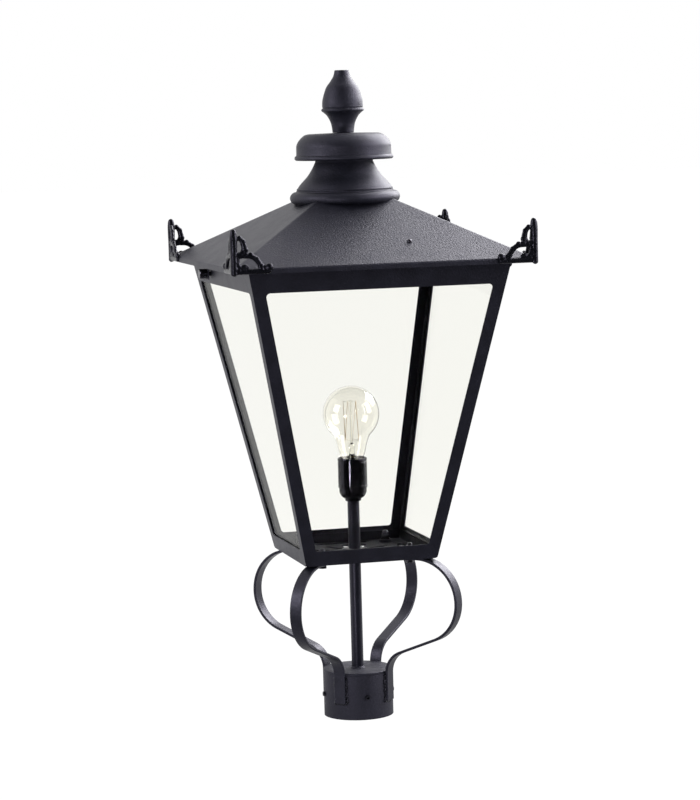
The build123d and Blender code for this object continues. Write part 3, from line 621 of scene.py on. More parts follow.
def hand_over_rounded(
    nodes: dict[str, Piece], name: str, finish: Finish, body: str, radius: float, segments: int = 2
) -> None:
    """Hand over a solid's own shape with its edges rounded.

    Args:
        nodes: The frame's solids.
        name: The solid's name.
        finish: Its finish.
        body: The body that it rides on.
        radius: Width of the rounding in millimetres.
        segments: Facets across the rounding.
    """
    piece = traced(nodes[name], f"{name}_rounded")
    round_edges(piece, radius, segments)
    hand_over(piece, finish, body, [name])


# --- studio
@dataclass
class Studio:
    """Pale floor, white surroundings behind it, soft lamps and the photograph's camera."""

    camera_at: Triple = (-0.76267, -2.90501, 0.65148)
    pan_deg: float = -14.70
    pitch_deg: float = -5.97
    roll_deg: float = 1.56
    focal_px: float = 2850.0
    frame_px: float = 800.0
    room_level: float = 0.035
    fill_level: float = 0.26
    sensor_mm: float = 36.0
    bright_side: Triple = (0.25, 0.96, 0.35)
    floor_size: float = 40.0
    floor_level: float = 1.04
    floor_glow: float = 0.97
    aim_height: float = 0.45

    def camera(self) -> None:
        """Place the camera that was fitted to the photograph."""
        pan, pitch, roll = (math.radians(v) for v in (self.pan_deg, self.pitch_deg, self.roll_deg))
        level = math.cos(pitch)
        ahead = Vector((-math.sin(pan) * level, math.cos(pan) * level, math.sin(pitch)))
        right = Vector((math.cos(pan), math.sin(pan), 0.0))
        up = right.cross(ahead)
        side = right * math.cos(roll) - up * math.sin(roll)
        top = right * math.sin(roll) + up * math.cos(roll)
        data = bpy.data.cameras.new("photo_camera")
        data.sensor_fit, data.sensor_height = "VERTICAL", self.sensor_mm
        data.lens = self.focal_px * self.sensor_mm / self.frame_px
        data.clip_start, data.clip_end = 0.05, 100.0
        camera = bpy.data.objects.new("photo_camera", data)
        bpy.context.scene.collection.objects.link(camera)
        turn = Matrix((side, top, -ahead)).transposed().to_4x4()
        camera.matrix_world = Matrix.Translation(Vector(self.camera_at)) @ turn
        bpy.context.scene.camera = camera

    def ray_masks(self, tree: Tree) -> tuple[Node, Node]:
        """Sort rays that see the white background, straight or through glass, from reflections.

        Args:
            tree: The node tree.

        Returns:
            The nodes whose first outputs are the two masks.
        """
        path = add_node(tree, "ShaderNodeLightPath")
        through = (path, "Is Transmission Ray")
        mirrored = add_math(tree, "GREATER_THAN", (path, "Glossy Depth"))
        straight = add_math(tree, "SUBTRACT", through, (mirrored, 0), clamp=True)
        seen = add_math(tree, "MAXIMUM", (path, "Is Camera Ray"), (straight, 0))
        glossy = add_math(tree, "MAXIMUM", (path, "Is Glossy Ray"), through)
        return seen, glossy

    def fade(self, tree: Tree, source: Source, start: float, end: float) -> Node:
        """Blend the dim room into the white backdrop.

        Args:
            tree: The node tree.
            source: Node and output of the value that rises towards the backdrop.
            start: The value where the blend starts.
            end: The value where it ends.

        Returns:
            The blend's node.
        """
        ends = {"From Min": start, "From Max": end, "To Min": self.room_level}
        settings = {"interpolation_type": "SMOOTHSTEP", **ends}
        return add_node(tree, "ShaderNodeMapRange", settings, {"Value": source})

    def surroundings(self) -> None:
        """White backdrop for the eye; in reflections the room behind the camera is dim."""
        world = bpy.data.worlds.new("studio")
        world.use_nodes = True
        tree = world.node_tree
        tree.nodes.clear()
        seen, glossy = self.ray_masks(tree)
        place = add_node(tree, "ShaderNodeTexCoord")
        dot = {"operation": "DOT_PRODUCT"}
        facing = add_node(tree, "ShaderNodeVectorMath", dot, {0: (place, "Generated")})
        facing.inputs[1].default_value = self.bright_side
        room = self.fade(tree, (facing, "Value"), -0.35, 0.45)
        fill = add_node(
            tree,
            "ShaderNodeMapRange",
            {"To Min": self.fill_level},
            {"Value": (glossy, 0), "To Max": (room, "Result")},
        )
        links = {"Value": (seen, 0), "To Min": (fill, "Result")}
        level = add_node(tree, "ShaderNodeMapRange", links=links)
        white = {"Color": (1.0, 1.0, 1.0, 1.0)}
        sky = add_node(tree, "ShaderNodeBackground", white, {"Strength": (level, "Result")})
        add_node(tree, "ShaderNodeOutputWorld", links={"Surface": (sky, 0)})
        bpy.context.scene.world = world

    def floor(self) -> None:
        """A wide pale floor that shows white, keeps a faint shadow and dims towards the room."""
        material, tree = blank_material("pale_floor")
        seen, glossy = self.ray_masks(tree)
        place = add_node(tree, "ShaderNodeTexCoord")
        axes = add_node(tree, "ShaderNodeSeparateXYZ", links={"Vector": (place, "Object")})
        room = self.fade(tree, (axes, "Y"), -0.3, 0.2)
        links = {"Value": (seen, 0), "To Min": (room, "Result")}
        level = add_node(tree, "ShaderNodeMapRange", {"To Max": self.floor_level}, links)
        either = add_math(tree, "MAXIMUM", (seen, 0), (glossy, 0))
        glow = {"To Max": self.floor_glow}
        share = add_node(tree, "ShaderNodeMapRange", glow, {"Value": (either, 0)})
        pale = {"Base Color": srgb("#E9E9E9"), "Roughness": 0.9}
        paint = add_node(tree, "ShaderNodeBsdfPrincipled", pale)
        white = {"Color": (1, 1, 1, 1)}
        paper = add_node(tree, "ShaderNodeEmission", white, {"Strength": (level, "Result")})
        links = {"Fac": (share, 0), 1: (paint, 0), 2: (paper, 0)}
        close_material(tree, add_node(tree, "ShaderNodeMixShader", links=links))
        floor = added(bpy.ops.mesh.primitive_plane_add, size=self.floor_size, location=(0, 0, 0))
        floor.name = "floor"
        floor.data.materials.append(material)
        floor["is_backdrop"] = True

    def softbox(self, name: str, at: Triple, size: Point, level: float) -> None:
        """Add one softbox aimed at the lantern.

        Args:
            name: The lamp's name.
            at: Its place in metres.
            size: Width and height of its face in metres.
            level: Brightness of its face, as against the other softboxes.
        """
        data = bpy.data.lights.new(name, "AREA")
        data.shape, data.size, data.size_y = "RECTANGLE", *size
        data.energy = level * math.pi * size[0] * size[1] * math.pi
        lamp = bpy.data.objects.new(name, data)
        bpy.context.scene.collection.objects.link(lamp)
        aim = Vector((0.0, 0.0, min(self.aim_height, at[2]))) - Vector(at)
        turn = aim.to_track_quat("-Z", "Y").to_matrix().to_4x4()
        lamp.matrix_world = Matrix.Translation(Vector(at)) @ turn

    def build(self) -> None:
        """Set up everything that isn't the lantern."""
        self.camera()
        self.surroundings()
        self.floor()
        self.softbox("softbox_over_right", (1.0, 0.5, 1.2), (1.2, 1.2), 3.0)
        self.softbox("softbox_right", (1.9, -1.1, 1.1), (1.5, 1.5), 2.0)
        self.softbox("softbox_left", (-2.2, -0.35, 1.2), (1.1, 1.1), 2.3)
        self.softbox("softbox_low", (-1.04, -1.345, 0.16), (0.35, 0.3), 8.0)
        bpy.context.scene.view_settings.view_transform = "Standard"


# --- collar, stem and welds
@dataclass
class Collar:
    """Collar, stem and the weld beads that hold stem and straps.

    Wander and sag are the ends between which a drop of weld strays sideways and up, and
    drop_sizes those of its radius as a share of bead_radius.
    """

    radius: float = 37.0
    height: float = 50.0
    stem_radius: float = 6.35
    bead_radius: float = 1.7
    bead_step: float = 1.9
    foot_half_width: float = 6.9
    weld_short: float = 2.0
    weld_below: float = 0.6
    weld_proud: float = 0.15
    weld_voxel: float = 0.4
    weld_seed: int = 11
    stem_leg: float = 1.7
    wander: Point = (-0.45, 0.55)
    sag: Point = (-0.5, 0.3)
    drop_sizes: Point = (0.7, 1.15)

    def bead_run(self, rng: random.Random) -> list[Triple]:
        """Centres of the drops of weld round one strap's foot, made along +X.

        Args:
            rng: Seeded source of the bead's unevenness.

        Returns:
            Points in millimetres.
        """
        half, pace = self.foot_half_width, self.bead_step
        side_steps = int((self.height - STRAP_FOOT - self.weld_short) / pace)
        across = int(2 * half / pace)
        run = []
        for sign in (-1, 1):
            for step in range(side_steps):
                run.append((sign * half + rng.uniform(*self.wander), STRAP_FOOT + step * pace))
        for step in range(across + 1):
            height = STRAP_FOOT - self.weld_below + rng.uniform(*self.sag)
            run.append((-half + step * pace, height))
        return [(math.sqrt(self.radius**2 - y**2) + self.weld_proud, y, z) for y, z in run]

    def strap_weld(self) -> Piece:
        """Model the fillet weld round one strap's foot as a row of overlapping drops.

        Returns:
            The weld on the +X side.
        """
        rng = random.Random(self.weld_seed)
        drop = bpy.ops.mesh.primitive_ico_sphere_add
        drops = []
        for x, y, z in self.bead_run(rng):
            radius = self.bead_radius * rng.uniform(*self.drop_sizes)
            place = (x * MM, y * MM, z * MM)
            drops.append(added(drop, subdivisions=2, radius=radius * MM, location=place))
        weld = joined("strap_weld", drops)
        settle(weld)
        apply_modifier(weld, "REMESH", mode="VOXEL", voxel_size=self.weld_voxel * MM)
        apply_modifier(weld, "SMOOTH", factor=0.5, iterations=1)
        return weld

    def stem_weld(self) -> Piece:
        """Model the fillet weld between stem and lid.

        Returns:
            The weld.
        """
        leg, top, inner = self.stem_leg, self.height, self.stem_radius
        outline = [
            (inner, top), (inner + leg, top), (inner + leg * 0.55, top + leg * 0.35),
            (inner + leg * 0.3, top + leg * 0.62), (inner, top + leg),
        ]
        return turned("stem_weld", outline, closed=True, steps=72)

    def build(self, nodes: dict[str, Piece]) -> None:
        """Model and dress the collar's pieces.

        Args:
            nodes: The frame's solids.
        """
        hand_over_rounded(nodes, "collar_tube", Finish.WELDED, "body", 0.5, 3)
        hand_over_rounded(nodes, "collar_lid", Finish.WELDED, "body", 0.25)
        hand_over(self.stem_weld(), Finish.WELDED, "body", smooth=60)
        weld = self.strap_weld()
        weld.rotation_euler = (0, 0, -math.pi / 4)
        settle(weld)
        for quarters, corner in enumerate(CORNERS):
            piece = copied(weld, f"strap_weld_{corner}", quarters)
            hand_over(piece, Finish.CASTING, "body", smooth=80)
        bpy.data.objects.remove(weld)
        for side in SIDES:
            screw = f"set_screw_{side}"
            hand_over_rounded(nodes, screw, Finish.FASTENER, f"{screw}_body", 0.25)


# --- straps and their bolts
@dataclass
class Straps:
    """Four flat bars bent from the collar out and back under the body, with their bolts.

    Hexagons are given by the heights of foot and top, domes by foot, radius and rise.
    """

    width: float = 13.0
    thickness: float = 3.0
    edge: float = 0.7
    axis: float = 38.5
    slope: float = 0.393
    reach: float = 123.7
    shoulder: Point = (57.7, 71.5)
    top: float = 172.3
    end: float = 60.5
    bends: Triple = (25.0, 42.5, 45.4)
    bolt_reach: float = 67.0
    flats: float = 8.0
    bolt_head: Point = (167.3, 170.75)
    bolt_end: Triple = (178.8, 2.4, 4.0)
    nut_foot: Point = (179.8, 183.9)
    nut_dome: Triple = (183.4, 3.6, 5.4)

    def corners(self) -> list[Point]:
        """Corner points of the bar's centre line before it is bent.

        Returns:
            (distance, height) points in millimetres.
        """
        reach, height = self.shoulder
        low = height - (reach - self.axis) * self.slope
        high = height + (self.reach - reach) * self.slope
        rising = [(self.axis, STRAP_FOOT), (self.axis, low), (self.reach, high)]
        return [*rising, (self.reach, self.top), (self.end, self.top)]

    def bar(self) -> Piece:
        """Model one strap along +X: its section drawn out straight and round each bend.

        Returns:
            The strap.
        """
        foot = (self.axis * MM, 0, STRAP_FOOT * MM)
        bar = added(bpy.ops.mesh.primitive_plane_add, size=MM, location=foot)
        bar.scale = (self.thickness, self.width, 1)
        settle(bar)
        points = [Vector((x, 0, z)) for x, z in self.corners()]
        with edit(bar):
            bpy.ops.mesh.bevel(offset=self.edge * MM, segments=3, affect="VERTICES")
            here = points[0]
            for before, corner, after, radius in zip(points, points[1:], points[2:], self.bends):
                way_in, way_out = (corner - before).normalized(), (after - corner).normalized()
                turn = way_in.angle(way_out)
                tangent = radius * math.tan(turn / 2)
                start = corner - way_in * tangent
                side = way_in.cross(way_out).normalized()
                centre = start + side.cross(way_in) * radius
                pull(*(start - here))
                steps = max(8, int(math.degrees(turn) / 4))
                bpy.ops.mesh.spin(steps=steps, angle=turn, center=centre * MM, axis=-side)
                here = corner + way_out * tangent
            pull(*(points[-1] - here))
            heal()
        return bar

    def hexagon(self, low: float, high: float) -> Piece:
        """Model a hexagon with its chamfered crown, on a bolt's axis.

        Args:
            low: Height of its foot.
            high: Height of its top.

        Returns:
            The hexagon along +X.
        """
        head = added(
            bpy.ops.mesh.primitive_cylinder_add,
            vertices=6,
            radius=self.flats / math.sqrt(3) * MM,
            depth=(high - low) * MM,
            location=(self.bolt_reach * MM, 0, (low + high) / 2 * MM),
        )
        settle(head)
        round_edges(head, 0.35, 2, 40)
        return head

    def dome(self, low: float, radius: float, rise: float) -> Piece:
        """Model a dome on a bolt's axis.

        Args:
            low: Height of its foot.
            radius: Its radius.
            rise: Its height.

        Returns:
            The dome along +X.
        """
        side, brow = (radius, low + rise * 0.45), (radius * 0.72, low + rise * 0.86)
        profile = flow((radius, low), side, brow, (0, low + rise))
        dome = turned("dome", [(0, low), *profile], steps=32)
        dome.location = (self.bolt_reach * MM, 0, 0)
        settle(dome)
        return dome

    def build(self) -> None:
        """Model and dress the straps and their fasteners."""
        bar = self.bar()
        bolt = joined("bolt", [self.hexagon(*self.bolt_head), self.dome(*self.bolt_end)])
        nut = joined("nut", [self.hexagon(*self.nut_foot), self.dome(*self.nut_dome)])
        for piece in (bar, bolt, nut):
            piece.rotation_euler = (0, 0, -math.pi / 4)
            settle(piece)
        for quarters, corner in enumerate(CORNERS):
            piece = copied(bar, f"strap_{corner}_bent", quarters)
            hand_over(piece, Finish.BAR, "body", [f"strap_{corner}"])
        rings = ((bolt, "strap_bolts_hexagon", "strap_bolts"), (nut, "cap_nuts", "dome_nuts"))
        for piece, name, solid in rings:
            ring = [copied(piece, f"{name}_{quarters}", quarters) for quarters in range(4)]
            hand_over(joined(name, ring), Finish.FASTENER, "body", [solid])
        for piece in (bar, bolt, nut):
            bpy.data.objects.remove(piece)


# --- sheet parts
@dataclass
class SheetWork:
    """Folded and punched sheet: the same solids with their edges rounded by the coating."""

    fold_radius: float = 1.6
    lip_radius: float = 0.3
    rounded: tuple[tuple[str, str, float, Finish], ...] = (
        *((f"side_frame_{side}", "body", 0.4, Finish.SHEET) for side in SIDES),
        *((f"pane_retainer_{corner}", "body", 0.3, Finish.INSIDE) for corner in CORNERS),
        ("base_tray", "body", 0.4, Finish.INSIDE),
        ("stem_rosette", "body", 0.8, Finish.TUBE),
        ("roof_seat_frame", "roof", 0.3, Finish.INSIDE),
        ("catch_tab", "roof", 0.3, Finish.SHEET),
        ("hinge_roof_leaves", "roof", 0.35, Finish.SHEET),
        ("hinge_body_leaves", "body", 0.35, Finish.SHEET),
    )

    def on_hip(self, point: Vector) -> bool:
        """Whether a point in millimetres lies on one of the roof's hips."""
        out, height = abs(point.x), ROOF_APEX - abs(point.x) * ROOF_SLOPE
        return abs(out - abs(point.y)) < 0.05 and abs(point.z - height) < 0.2

    def on_eave(self, point: Vector) -> bool:
        """Whether a point in millimetres lies on the upper edge of the roof's lip."""
        out = max(abs(point.x), abs(point.y))
        return abs(point.z - LIP_TOP) < 0.05 and out > ROOF_HALF - 0.1

    def roof(self, node: Piece) -> Piece:
        """Round the roof's folded hips and its lip.

        Args:
            node: The roof's solid.

        Returns:
            The roof sheet.
        """
        sheet = traced(node, "roof_sheet_folded")
        with edit(sheet):
            bpy.ops.mesh.select_all(action="DESELECT")
            bpy.ops.mesh.select_mode(type="EDGE")
            mesh = bmesh.from_edit_mesh(sheet.data)
            for edge in mesh.edges:
                ends = [vert.co / MM for vert in edge.verts]
                edge.select_set(all(map(self.on_hip, ends)) or all(map(self.on_eave, ends)))
            bmesh.update_edit_mesh(sheet.data)
            bpy.ops.mesh.bevel(offset=self.fold_radius * MM, segments=4, affect="EDGES")
            heal()
        round_edges(sheet, self.lip_radius, 2, 50)
        return sheet

    def build(self, nodes: dict[str, Piece]) -> None:
        """Model and dress the sheet parts.

        Args:
            nodes: The frame's solids.
        """
        for name, body, radius, finish in self.rounded:
            hand_over_rounded(nodes, name, finish, body, radius)
        hand_over(self.roof(nodes["roof_shell"]), Finish.SHEET, "roof", ["roof_shell"])


# --- chimney and finial
@dataclass
class Chimney:
    """Spun ring, neck and vent cap with the cast finial on top."""

    ring_foot: float = 540.6
    bead: float = 551.5
    top: float = 560.0
    rim: float = 591.5
    cap_top: float = 619.6
    finial_foot: float = 619.65
    finial_bead: float = 643.5
    finial_top: float = 684.8

    def ring(self) -> Piece:
        """Turn the beaded ring and cut its foot to the roof's slopes.

        Returns:
            The ring.
        """
        foot, b, top = self.ring_foot, self.bead, self.top
        bead = flow(
            (53.0, b - 5.6), (56.4, b - 3.6), (57.9, b), (57.2, b + 3.4), (54.6, b + 6.2),
            (51.4, b + 7.2), spans=5,
        )
        outline = [
            (48.6, foot), (50.4, foot), (50.4, b - 5.6), (51.0, b - 5.9), *bead, (51.0, b + 7.7),
            (51.0, top - 0.3), (50.7, top), (40.3, top), (40.0, top - 0.3), (40.0, top - 2.4),
            (48.0, top - 2.4), (48.6, b + 3.0),
        ]
        ring = turned("chimney_ring", outline, closed=True, steps=144)
        slopes = added(
            bpy.ops.mesh.primitive_cone_add,
            vertices=4,
            radius1=ROOF_HALF * math.sqrt(2) * MM,
            depth=(ROOF_APEX - LIP_TOP) * MM,
            location=(0, 0, (ROOF_APEX + LIP_TOP) / 2 * MM),
            rotation=(0, 0, math.pi / 4),
        )
        settle(slopes)
        apply_modifier(ring, "BOOLEAN", operation="DIFFERENCE", object=slopes, solver="EXACT")
        bpy.data.objects.remove(slopes)
        return ring

    def neck(self) -> Piece:
        """Turn the concave neck with its step ring.

        Returns:
            The neck.
        """
        t = self.top
        outer = flow(
            (49.5, t + 2.2), (46.8, t + 6.2), (39.0, t + 14.6), (33.6, t + 23.0), (30.4, t + 29.5)
        )
        inner = [(r - 1.2, z) for r, z in reversed(outer)]
        outline = [
            (48.2, t), (50.1, t + 0.05), (50.5, t + 0.5), (50.6, t + 1.1), (50.4, t + 1.7),
            (50.0, t + 2.0), (49.6, t + 2.05), *outer, (30.4, t + 42.7), (30.1, t + 43),
            (29.5, t + 43), (29.2, t + 42.7), *inner,
        ]
        return turned("chimney_neck_spun", outline, closed=True, steps=144)

    def cap(self) -> Piece:
        """Turn the vent cap with its soft shoulder and rolled rim.

        Returns:
            The cap.
        """
        low, top = self.rim, self.cap_top
        shoulder = flow(
            (36.8, top - 0.8), (41.5, top - 2.2), (46.7, top - 7.0), (49.5, top - 12.0),
            (49.9, top - 16.0),
        )
        inner = [(r - 1.1, z - 0.9) for r, z in reversed(shoulder)]
        roll = flow(
            (50.1, low + 5.0), (51.3, low + 4.2), (51.95, low + 2.6), (51.7, low + 1.0), (50.3, low)
        )
        outline = [
            (3.05, top), (20.0, top - 0.35), *shoulder, (50.0, low + 5.6), *roll,
            (49.4, low + 0.2), (49.1, low + 1.0), *inner, (20.0, top - 1.55), (3.05, top - 1.2),
        ]
        return turned("vent_cap_spun", outline, closed=True, steps=144)

    def finial(self) -> Piece:
        """Turn the finial: foot, hollow stalk, bead, tapering bulb and dished tip.

        Returns:
            The finial.
        """
        foot, b, top = self.finial_foot, self.finial_bead, self.finial_top
        stalk = flow(
            (11.3, foot + 1.0), (11.9, foot + 6.0), (13.2, b - 12.5), (16.5, b - 6.2),
            (20.4, b - 2.4),
        )
        bead = flow(
            (21.0, b - 2.0), (22.1, b - 1.2), (22.5, b), (22.1, b + 1.0), (21.0, b + 1.8), spans=3
        )
        bulb = flow(
            (21.4, b + 3.0), (21.3, b + 7.5), (20.5, b + 12.5), (17.0, b + 23), (12.6, b + 29.2),
            (9.0, b + 35), (7.7, top - 1.4),
        )
        outline = [
            (0, b + 4.55), (3.05, b + 4.5), (3.05, foot), (10.9, foot), (11.2, foot + 0.3), *stalk,
            *bead, (20.9, b + 2.2), *bulb, (7.5, top - 0.4), (7.0, top), (5.7, top),
            (5.3, top - 0.4), (5.1, top - 1.8), (4.6, top - 2.0), (0, top - 2.0),
        ]
        return turned("finial_cast", outline)

    def build(self, nodes: dict[str, Piece]) -> None:
        """Model and dress the chimney.

        Args:
            nodes: The frame's solids.
        """
        hand_over(self.ring(), Finish.SPUN, "roof", ["chimney_base"])
        hand_over(self.neck(), Finish.SPUN, "roof", ["chimney_neck"])
        hand_over(self.cap(), Finish.SPUN, "roof", ["vent_cap"])
        hand_over(self.finial(), Finish.SPUN, "roof", ["finial"])
        hand_over_rounded(nodes, "chimney_spider", Finish.SPUN, "roof", 0.4)


# --- corner ornaments
@dataclass
class CornerOrnament:
    """Cast openwork corner: two wings of scrolls that meet at a post with a spike.

    Strokes and knobs are (distance in from the wing's outer end, height above its foot, radius).
    """

    seat: float = 156.55
    thickness: float = 3.2
    foot: float = 484.3
    voxel: float = 0.45
    flattening: float = 0.7
    middle_share: float = 0.2
    spike_inset: float = 3.6
    strokes: tuple[tuple[Triple, ...], ...] = (
        ((3.2, 1.5, 3.2), (3.2, 33.0, 3.2)),
        ((2.8, 3.0, 2.8), (39.0, 2.8, 2.7)),
        ((5.2, 35.0, 2.1), (8.8, 36.6, 2.4), (12.0, 34.2, 2.7), (14.2, 29.4, 2.9),
         (15.0, 23.8, 2.9), (15.2, 18.7, 2.8)),
        ((11.6, 32.0, 1.5), (13.0, 28.5, 1.9), (13.2, 24.0, 2.1), (11.0, 20.6, 2.3)),
        ((5.6, 20.4, 2.8), (9.5, 19.4, 2.8), (14.5, 18.6, 2.8), (19.5, 18.6, 2.8),
         (24.2, 16.7, 2.8), (28.2, 12.6, 2.8), (30.6, 7.8, 2.8), (31.4, 4.0, 2.8)),
        ((8.2, 21.0, 1.8), (7.0, 16.0, 2.4), (7.0, 11.0, 2.6), (9.0, 6.8, 2.6), (11.4, 5.0, 2.7)),
        ((10.6, 4.4, 2.4), (12.0, 7.6, 2.4), (14.8, 8.8, 2.2), (16.8, 7.0, 2.1)),
        ((30.0, 4.4, 2.4), (33.0, 8.0, 2.0), (36.0, 6.6, 2.0), (36.4, 4.6, 2.0)),
    )
    knobs: tuple[Triple, ...] = (
        (39.2, 6.8, 4.0), (14.2, 7.2, 2.8), (3.9, 5.4, 3.9), (7.2, 9.6, 2.9), (3.7, 12.4, 3.7),
        (8.0, 4.4, 3.4), (3.6, 19.2, 3.6), (15.6, 24.4, 2.9), (3.4, 27.0, 3.4), (20.6, 19.4, 2.9),
        (3.4, 33.6, 3.6), (9.6, 36.4, 2.7), (13.4, 32.6, 2.8), (26.8, 14.8, 2.9),
        (31.0, 8.6, 2.8), (10.6, 19.0, 3.1),
    )

    def stroke(self, points: Sequence[Triple]) -> Piece:
        """Draw one round scroll of a wing along its line.

        Args:
            points: The line's points.

        Returns:
            The scroll as a closed mesh in the wing's plane.
        """
        scroll = added(bpy.ops.object.add, type="CURVE")
        curve = scroll.data
        curve.dimensions, curve.bevel_depth, curve.bevel_resolution = "3D", MM, 3
        curve.use_fill_caps = True
        line = curve.splines.new("NURBS")
        line.points.add(len(points) - 1)
        for knot, (inward, height, radius) in zip(line.points, points):
            knot.co = (-inward * MM, 0, height * MM, 1)
            knot.radius = radius
        line.order_u = min(3, len(points))
        line.use_endpoint_u = True
        take(scroll)
        bpy.ops.object.convert(target="MESH")
        return joined("scroll", [scroll, self.knob(points[0]), self.knob(points[-1])])

    def knob(self, place: Triple) -> Piece:
        """Add one round knob in the wing's plane.

        Args:
            place: Its centre and radius.

        Returns:
            The knob.
        """
        inward, height, radius = place
        knob = added(
            bpy.ops.mesh.primitive_uv_sphere_add,
            segments=20,
            ring_count=12,
            radius=radius * MM,
            location=(-inward * MM, 0, height * MM),
        )
        settle(knob)
        return knob

    def wing(self) -> Piece:
        """Put one wing's scrolls and knobs together, flattened to the casting's thickness.

        Returns:
            The wing, its outer end at X = 0, standing on Z = 0 and centred on Y = 0.
        """
        wing = joined("wing", [*map(self.stroke, self.strokes), *map(self.knob, self.knobs)])
        wing.scale = (1, self.flattening, 1)
        settle(wing)
        return wing

    def spike(self) -> Piece:
        """Turn the upright spike at the corner.

        Returns:
            The spike on the Z axis, standing on Z = 0.
        """
        profile = flow(
            (3.7, 0), (3.6, 16), (3.9, 33), (3.7, 39), (3.2, 42.5), (2.1, 44.8), (0, 45.6)
        )
        return turned("spike", [(0, 0), *profile], steps=32)

    def build(self) -> None:
        """Cast one ornament, then copy it to the four corners."""
        outer = self.seat + self.thickness
        middle = self.seat + self.thickness * self.middle_share
        post = outer - self.spike_inset
        front = self.wing()
        side = copied(front, "side_wing")
        side.scale = (-1, 1, 1)
        side.rotation_euler = (0, 0, math.pi / 2)
        spots = ((front, outer, -middle), (side, middle, -outer), (self.spike(), post, -post))
        for piece, x, y in spots:
            piece.location = (x * MM, y * MM, self.foot * MM)
            settle(piece)
        with edit(side):
            heal()
        cast = joined("ornament", [piece for piece, *_ in spots])
        apply_modifier(cast, "REMESH", mode="VOXEL", voxel_size=self.voxel * MM)
        apply_modifier(cast, "SMOOTH", factor=0.5, iterations=3)
        for quarters, corner in enumerate(CORNERS):
            piece = copied(cast, f"ornament_{corner}_cast", quarters)
            hand_over(piece, Finish.CASTING, "roof", [f"ornament_{corner}"], smooth=80)
        bpy.data.objects.remove(cast)


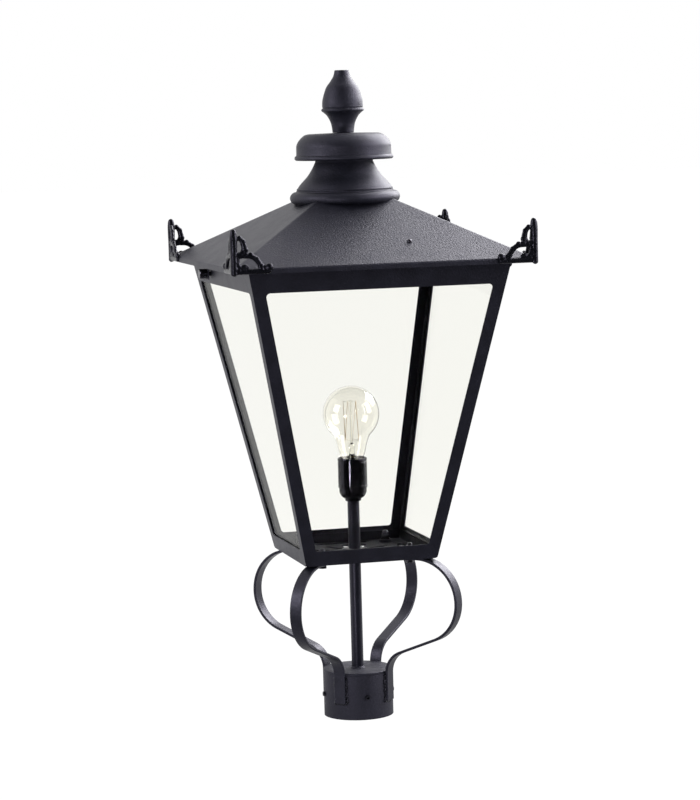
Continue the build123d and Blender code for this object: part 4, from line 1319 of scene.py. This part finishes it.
# --- lamp holder and lamp
@dataclass
class LampHolder:
    """Glossy moulded bayonet holder on the stem, with the clear lamp in it.

    Cage is the filament's radius; the leads' points are (distance from the axis, height).
    """

    foot: float = 230.0
    cap_height: float = 14.0
    radius: float = 15.6
    top: float = 276.0
    bulb_foot: float = 268.0
    bulb_radius: float = 30.0
    bulb_centre: float = 322.9
    glass: float = 0.8
    mount_foot: float = 269.1
    mount_top: float = 290.0
    cage: float = 8.0
    cage_foot: float = 295.0
    cage_top: float = 336.0
    runs: int = 10
    lead_foot: Point = (1.6, 286.0)
    lead_bend: Point = (5.0, 291.0)
    hook_radius: float = 0.14
    filament_radius: float = 0.2

    def cap(self) -> Piece:
        """Turn the bell-shaped lower cap with its stepped hub.

        Returns:
            The cap.
        """
        f, top = self.foot, self.foot + self.cap_height
        outer = flow((9.2, f + 2.6), (11.9, f + 4.4), (13.6, f + 7.0), (14.1, f + 8.6))
        inner = flow((12.9, f + 10.4), (11.6, f + 6.8), (8.0, f + 3.2), spans=4)
        outline = [
            (6.4, f), (8.2, f), (8.5, f + 0.3), (8.6, f + 2.2), *outer, (14.2, f + 8.8),
            (14.5, f + 9.0), (14.6, f + 9.5), (14.6, top - 0.3), (14.3, top), (13.4, top),
            (13.2, top - 0.4), *inner, (6.4, f + 3.0),
        ]
        return turned("holder_cap_moulded", outline, closed=True, steps=72)

    def skirt(self) -> Piece:
        """Turn the smooth outer skirt with its rolled mouth and its lower bead.

        Returns:
            The skirt.
        """
        low, top, r = self.foot + self.cap_height + 0.1, self.top, self.radius
        outline = [
            (13.1, low), (15.0, low), (15.5, low + 0.3), (r, low + 0.9), (r, low + 2.6),
            (r - 0.45, low + 3.0), (r - 0.45, low + 3.6), (r - 0.1, low + 4.0),
            (r - 0.1, top - 4.2), (r - 0.4, top - 3.8), (r - 0.4, top - 3.2), (r, top - 2.8),
            (r, top - 0.8), (r - 0.25, top - 0.2), (r - 0.8, top), (r - 1.3, top - 0.1),
            (r - 1.5, top - 0.5), (r - 1.5, low + 6), (13.1, low + 6),
        ]
        return turned("holder_skirt_moulded", outline, closed=True, steps=72)

    def bulb(self) -> Piece:
        """Blow the lamp's thin envelope: neck, shoulder and round crown.

        Returns:
            The glass.
        """
        c, r, wall, foot = self.bulb_centre, self.bulb_radius, self.glass, self.bulb_foot
        turns = [math.radians(angle) for angle in range(-44, 90, 4)]
        crown = [(r * math.cos(turn), c + r * math.sin(turn)) for turn in turns]
        flare = flow(
            (10.5, foot), (10.5, 272.2), (11.6, 275.0), (14.0, 281.0), (16.2, 291.0),
            (18.9, 298.4), crown[0],
        )
        outer = [*flare[:-1], *crown, (0, c + r)]
        inner = []
        for (r0, z0), (r1, z1) in zip(outer, outer[1:]):
            run = math.hypot(r1 - r0, z1 - z0) or 1.0
            inner.append((max(r0 - (z1 - z0) / run * wall, 0.0), z0 + (r1 - r0) / run * wall))
        inner.append((0, c + r - wall))
        return turned("bulb_blown", [*reversed(inner), *outer])

    def mount(self) -> Piece:
        """Turn the flared glass mount with the rod that carries the wires.

        Returns:
            The mount.
        """
        foot, top, tip = self.mount_foot, self.mount_top, self.cage_top
        flare = flow((9.2, 270.3), (6.2, 272.6), (3.8, 276.5), (2.9, 281.0), (2.6, 286.0))
        knot = flow((3.4, 287.4), (3.6, 288.6), (2.4, top), (1.0, top + 1.6), spans=3)
        outline = [
            (0, foot), (9.2, foot), *flare, *knot, (0.9, tip - 1.5), (1.4, tip - 0.4),
            (1.2, tip + 0.8), (0, tip + 1.0),
        ]
        return turned("bulb_mount_pressed", outline, steps=32)

    def bends(self) -> list[Vector]:
        """Bend points of the cage filament: even ones at the foot, odd ones at the top.

        Returns:
            The points in millimetres.
        """
        points = []
        for index in range(self.runs + 1):
            turn = 2 * math.pi * index / (self.runs + 1)
            height = self.cage_top if index % 2 else self.cage_foot
            points.append(Vector((self.cage * math.cos(turn), self.cage * math.sin(turn), height)))
        return points

    def wire(self, name: str, runs: Sequence[Sequence[Vector]], radius: float) -> Piece:
        """Draw wires along straight runs.

        Args:
            name: The piece's name.
            runs: One list of points in millimetres for each wire.
            radius: The wire's radius in millimetres.

        Returns:
            The wires as one mesh.
        """
        wires = added(bpy.ops.object.add, type="CURVE")
        wires.name = name
        curve = wires.data
        curve.dimensions, curve.bevel_depth, curve.bevel_resolution = "3D", radius * MM, 2
        curve.use_fill_caps = True
        for run in runs:
            line = curve.splines.new("POLY")
            line.points.add(len(run) - 1)
            for knot, place in zip(line.points, run):
                knot.co = (*(place * MM), 1)
        take(wires)
        bpy.ops.object.convert(target="MESH")
        return wires

    def build(self) -> None:
        """Model and dress the holder and the lamp."""
        hand_over(self.cap(), Finish.MOULDING, "body", ["holder_cap"])
        hand_over(self.skirt(), Finish.MOULDING, "body", ["holder_skirt"])
        hand_over(self.bulb(), Finish.LAMP_GLASS, "bulb", ["bulb_glass"], smooth=60)
        hand_over(self.mount(), Finish.LAMP_GLASS, "bulb", ["bulb_mount"], smooth=60)
        bends = self.bends()
        wires = [[Vector((0, 0, bend.z)), bend] for bend in bends]
        for side, end in ((1, bends[0]), (-1, bends[-1])):
            lead = [Vector((side * x, 0, z)) for x, z in (self.lead_foot, self.lead_bend)]
            wires.append([*lead, end])
        hooks = self.wire("filament_hooks", wires, self.hook_radius)
        hand_over(hooks, Finish.NICKEL, "bulb", ["filament_supports"])
        filament = self.wire("filament_drawn", [bends], self.filament_radius)
        hand_over(filament, Finish.TUNGSTEN, "bulb", ["filament"])


# --- solids kept from the frame
@dataclass
class KeptSolids:
    """Solids whose shape is right as it is: they only get their finish."""

    finishes: tuple[tuple[Finish, tuple[str, ...]], ...] = (
        (Finish.TUBE, ("stem_tube",)),
        (Finish.FASTENER, ("strap_washers", "roof_rivets", "catch_knob", "catch_washer")),
        (Finish.MOULDING, ("holder_barrel", "bulb_base")),
        (Finish.PANE, tuple(f"glass_pane_{side}" for side in SIDES)),
        (Finish.BRASS, ("bulb_cap", "contact_plunger_front", "contact_plunger_back")),
        (Finish.ZINC, ("stem_nut", "finial_rod", "hinge_pins")),
    )

    def dress(self, nodes: dict[str, Piece]) -> None:
        """Give every kept solid its finish.

        Args:
            nodes: The frame's solids.
        """
        for finish, names in self.finishes:
            for name in names:
                nodes[name].data.materials.clear()
                nodes[name].data.materials.append(finish.made)
                LOG.info("%s: kept, %s", name, finish.value.name)


def write_sizes(before: Any, after: Any) -> None:
    """Put the frame's box and the dressed model's box side by side as lists.

    Args:
        before: The bounds straight after loading.
        after: The bounds at the end.
    """
    boxes = {"cad": before, "visual": after}
    boxes = {name: [list(corner) for corner in box] for name, box in boxes.items()}


def main() -> None:
    """Load the frame, set up the studio and build each sub-assembly."""
    logging.basicConfig(level=logging.INFO)
    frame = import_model()
    nodes = frame["nodes"]
    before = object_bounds()
    Studio().build()
    KeptSolids().dress(nodes)
    Collar().build(nodes)
    Straps().build()
    SheetWork().build(nodes)
    Chimney().build(nodes)
    CornerOrnament().build()
    LampHolder().build()
    write_sizes(before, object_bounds())


if __name__ == "__main__":
    main()
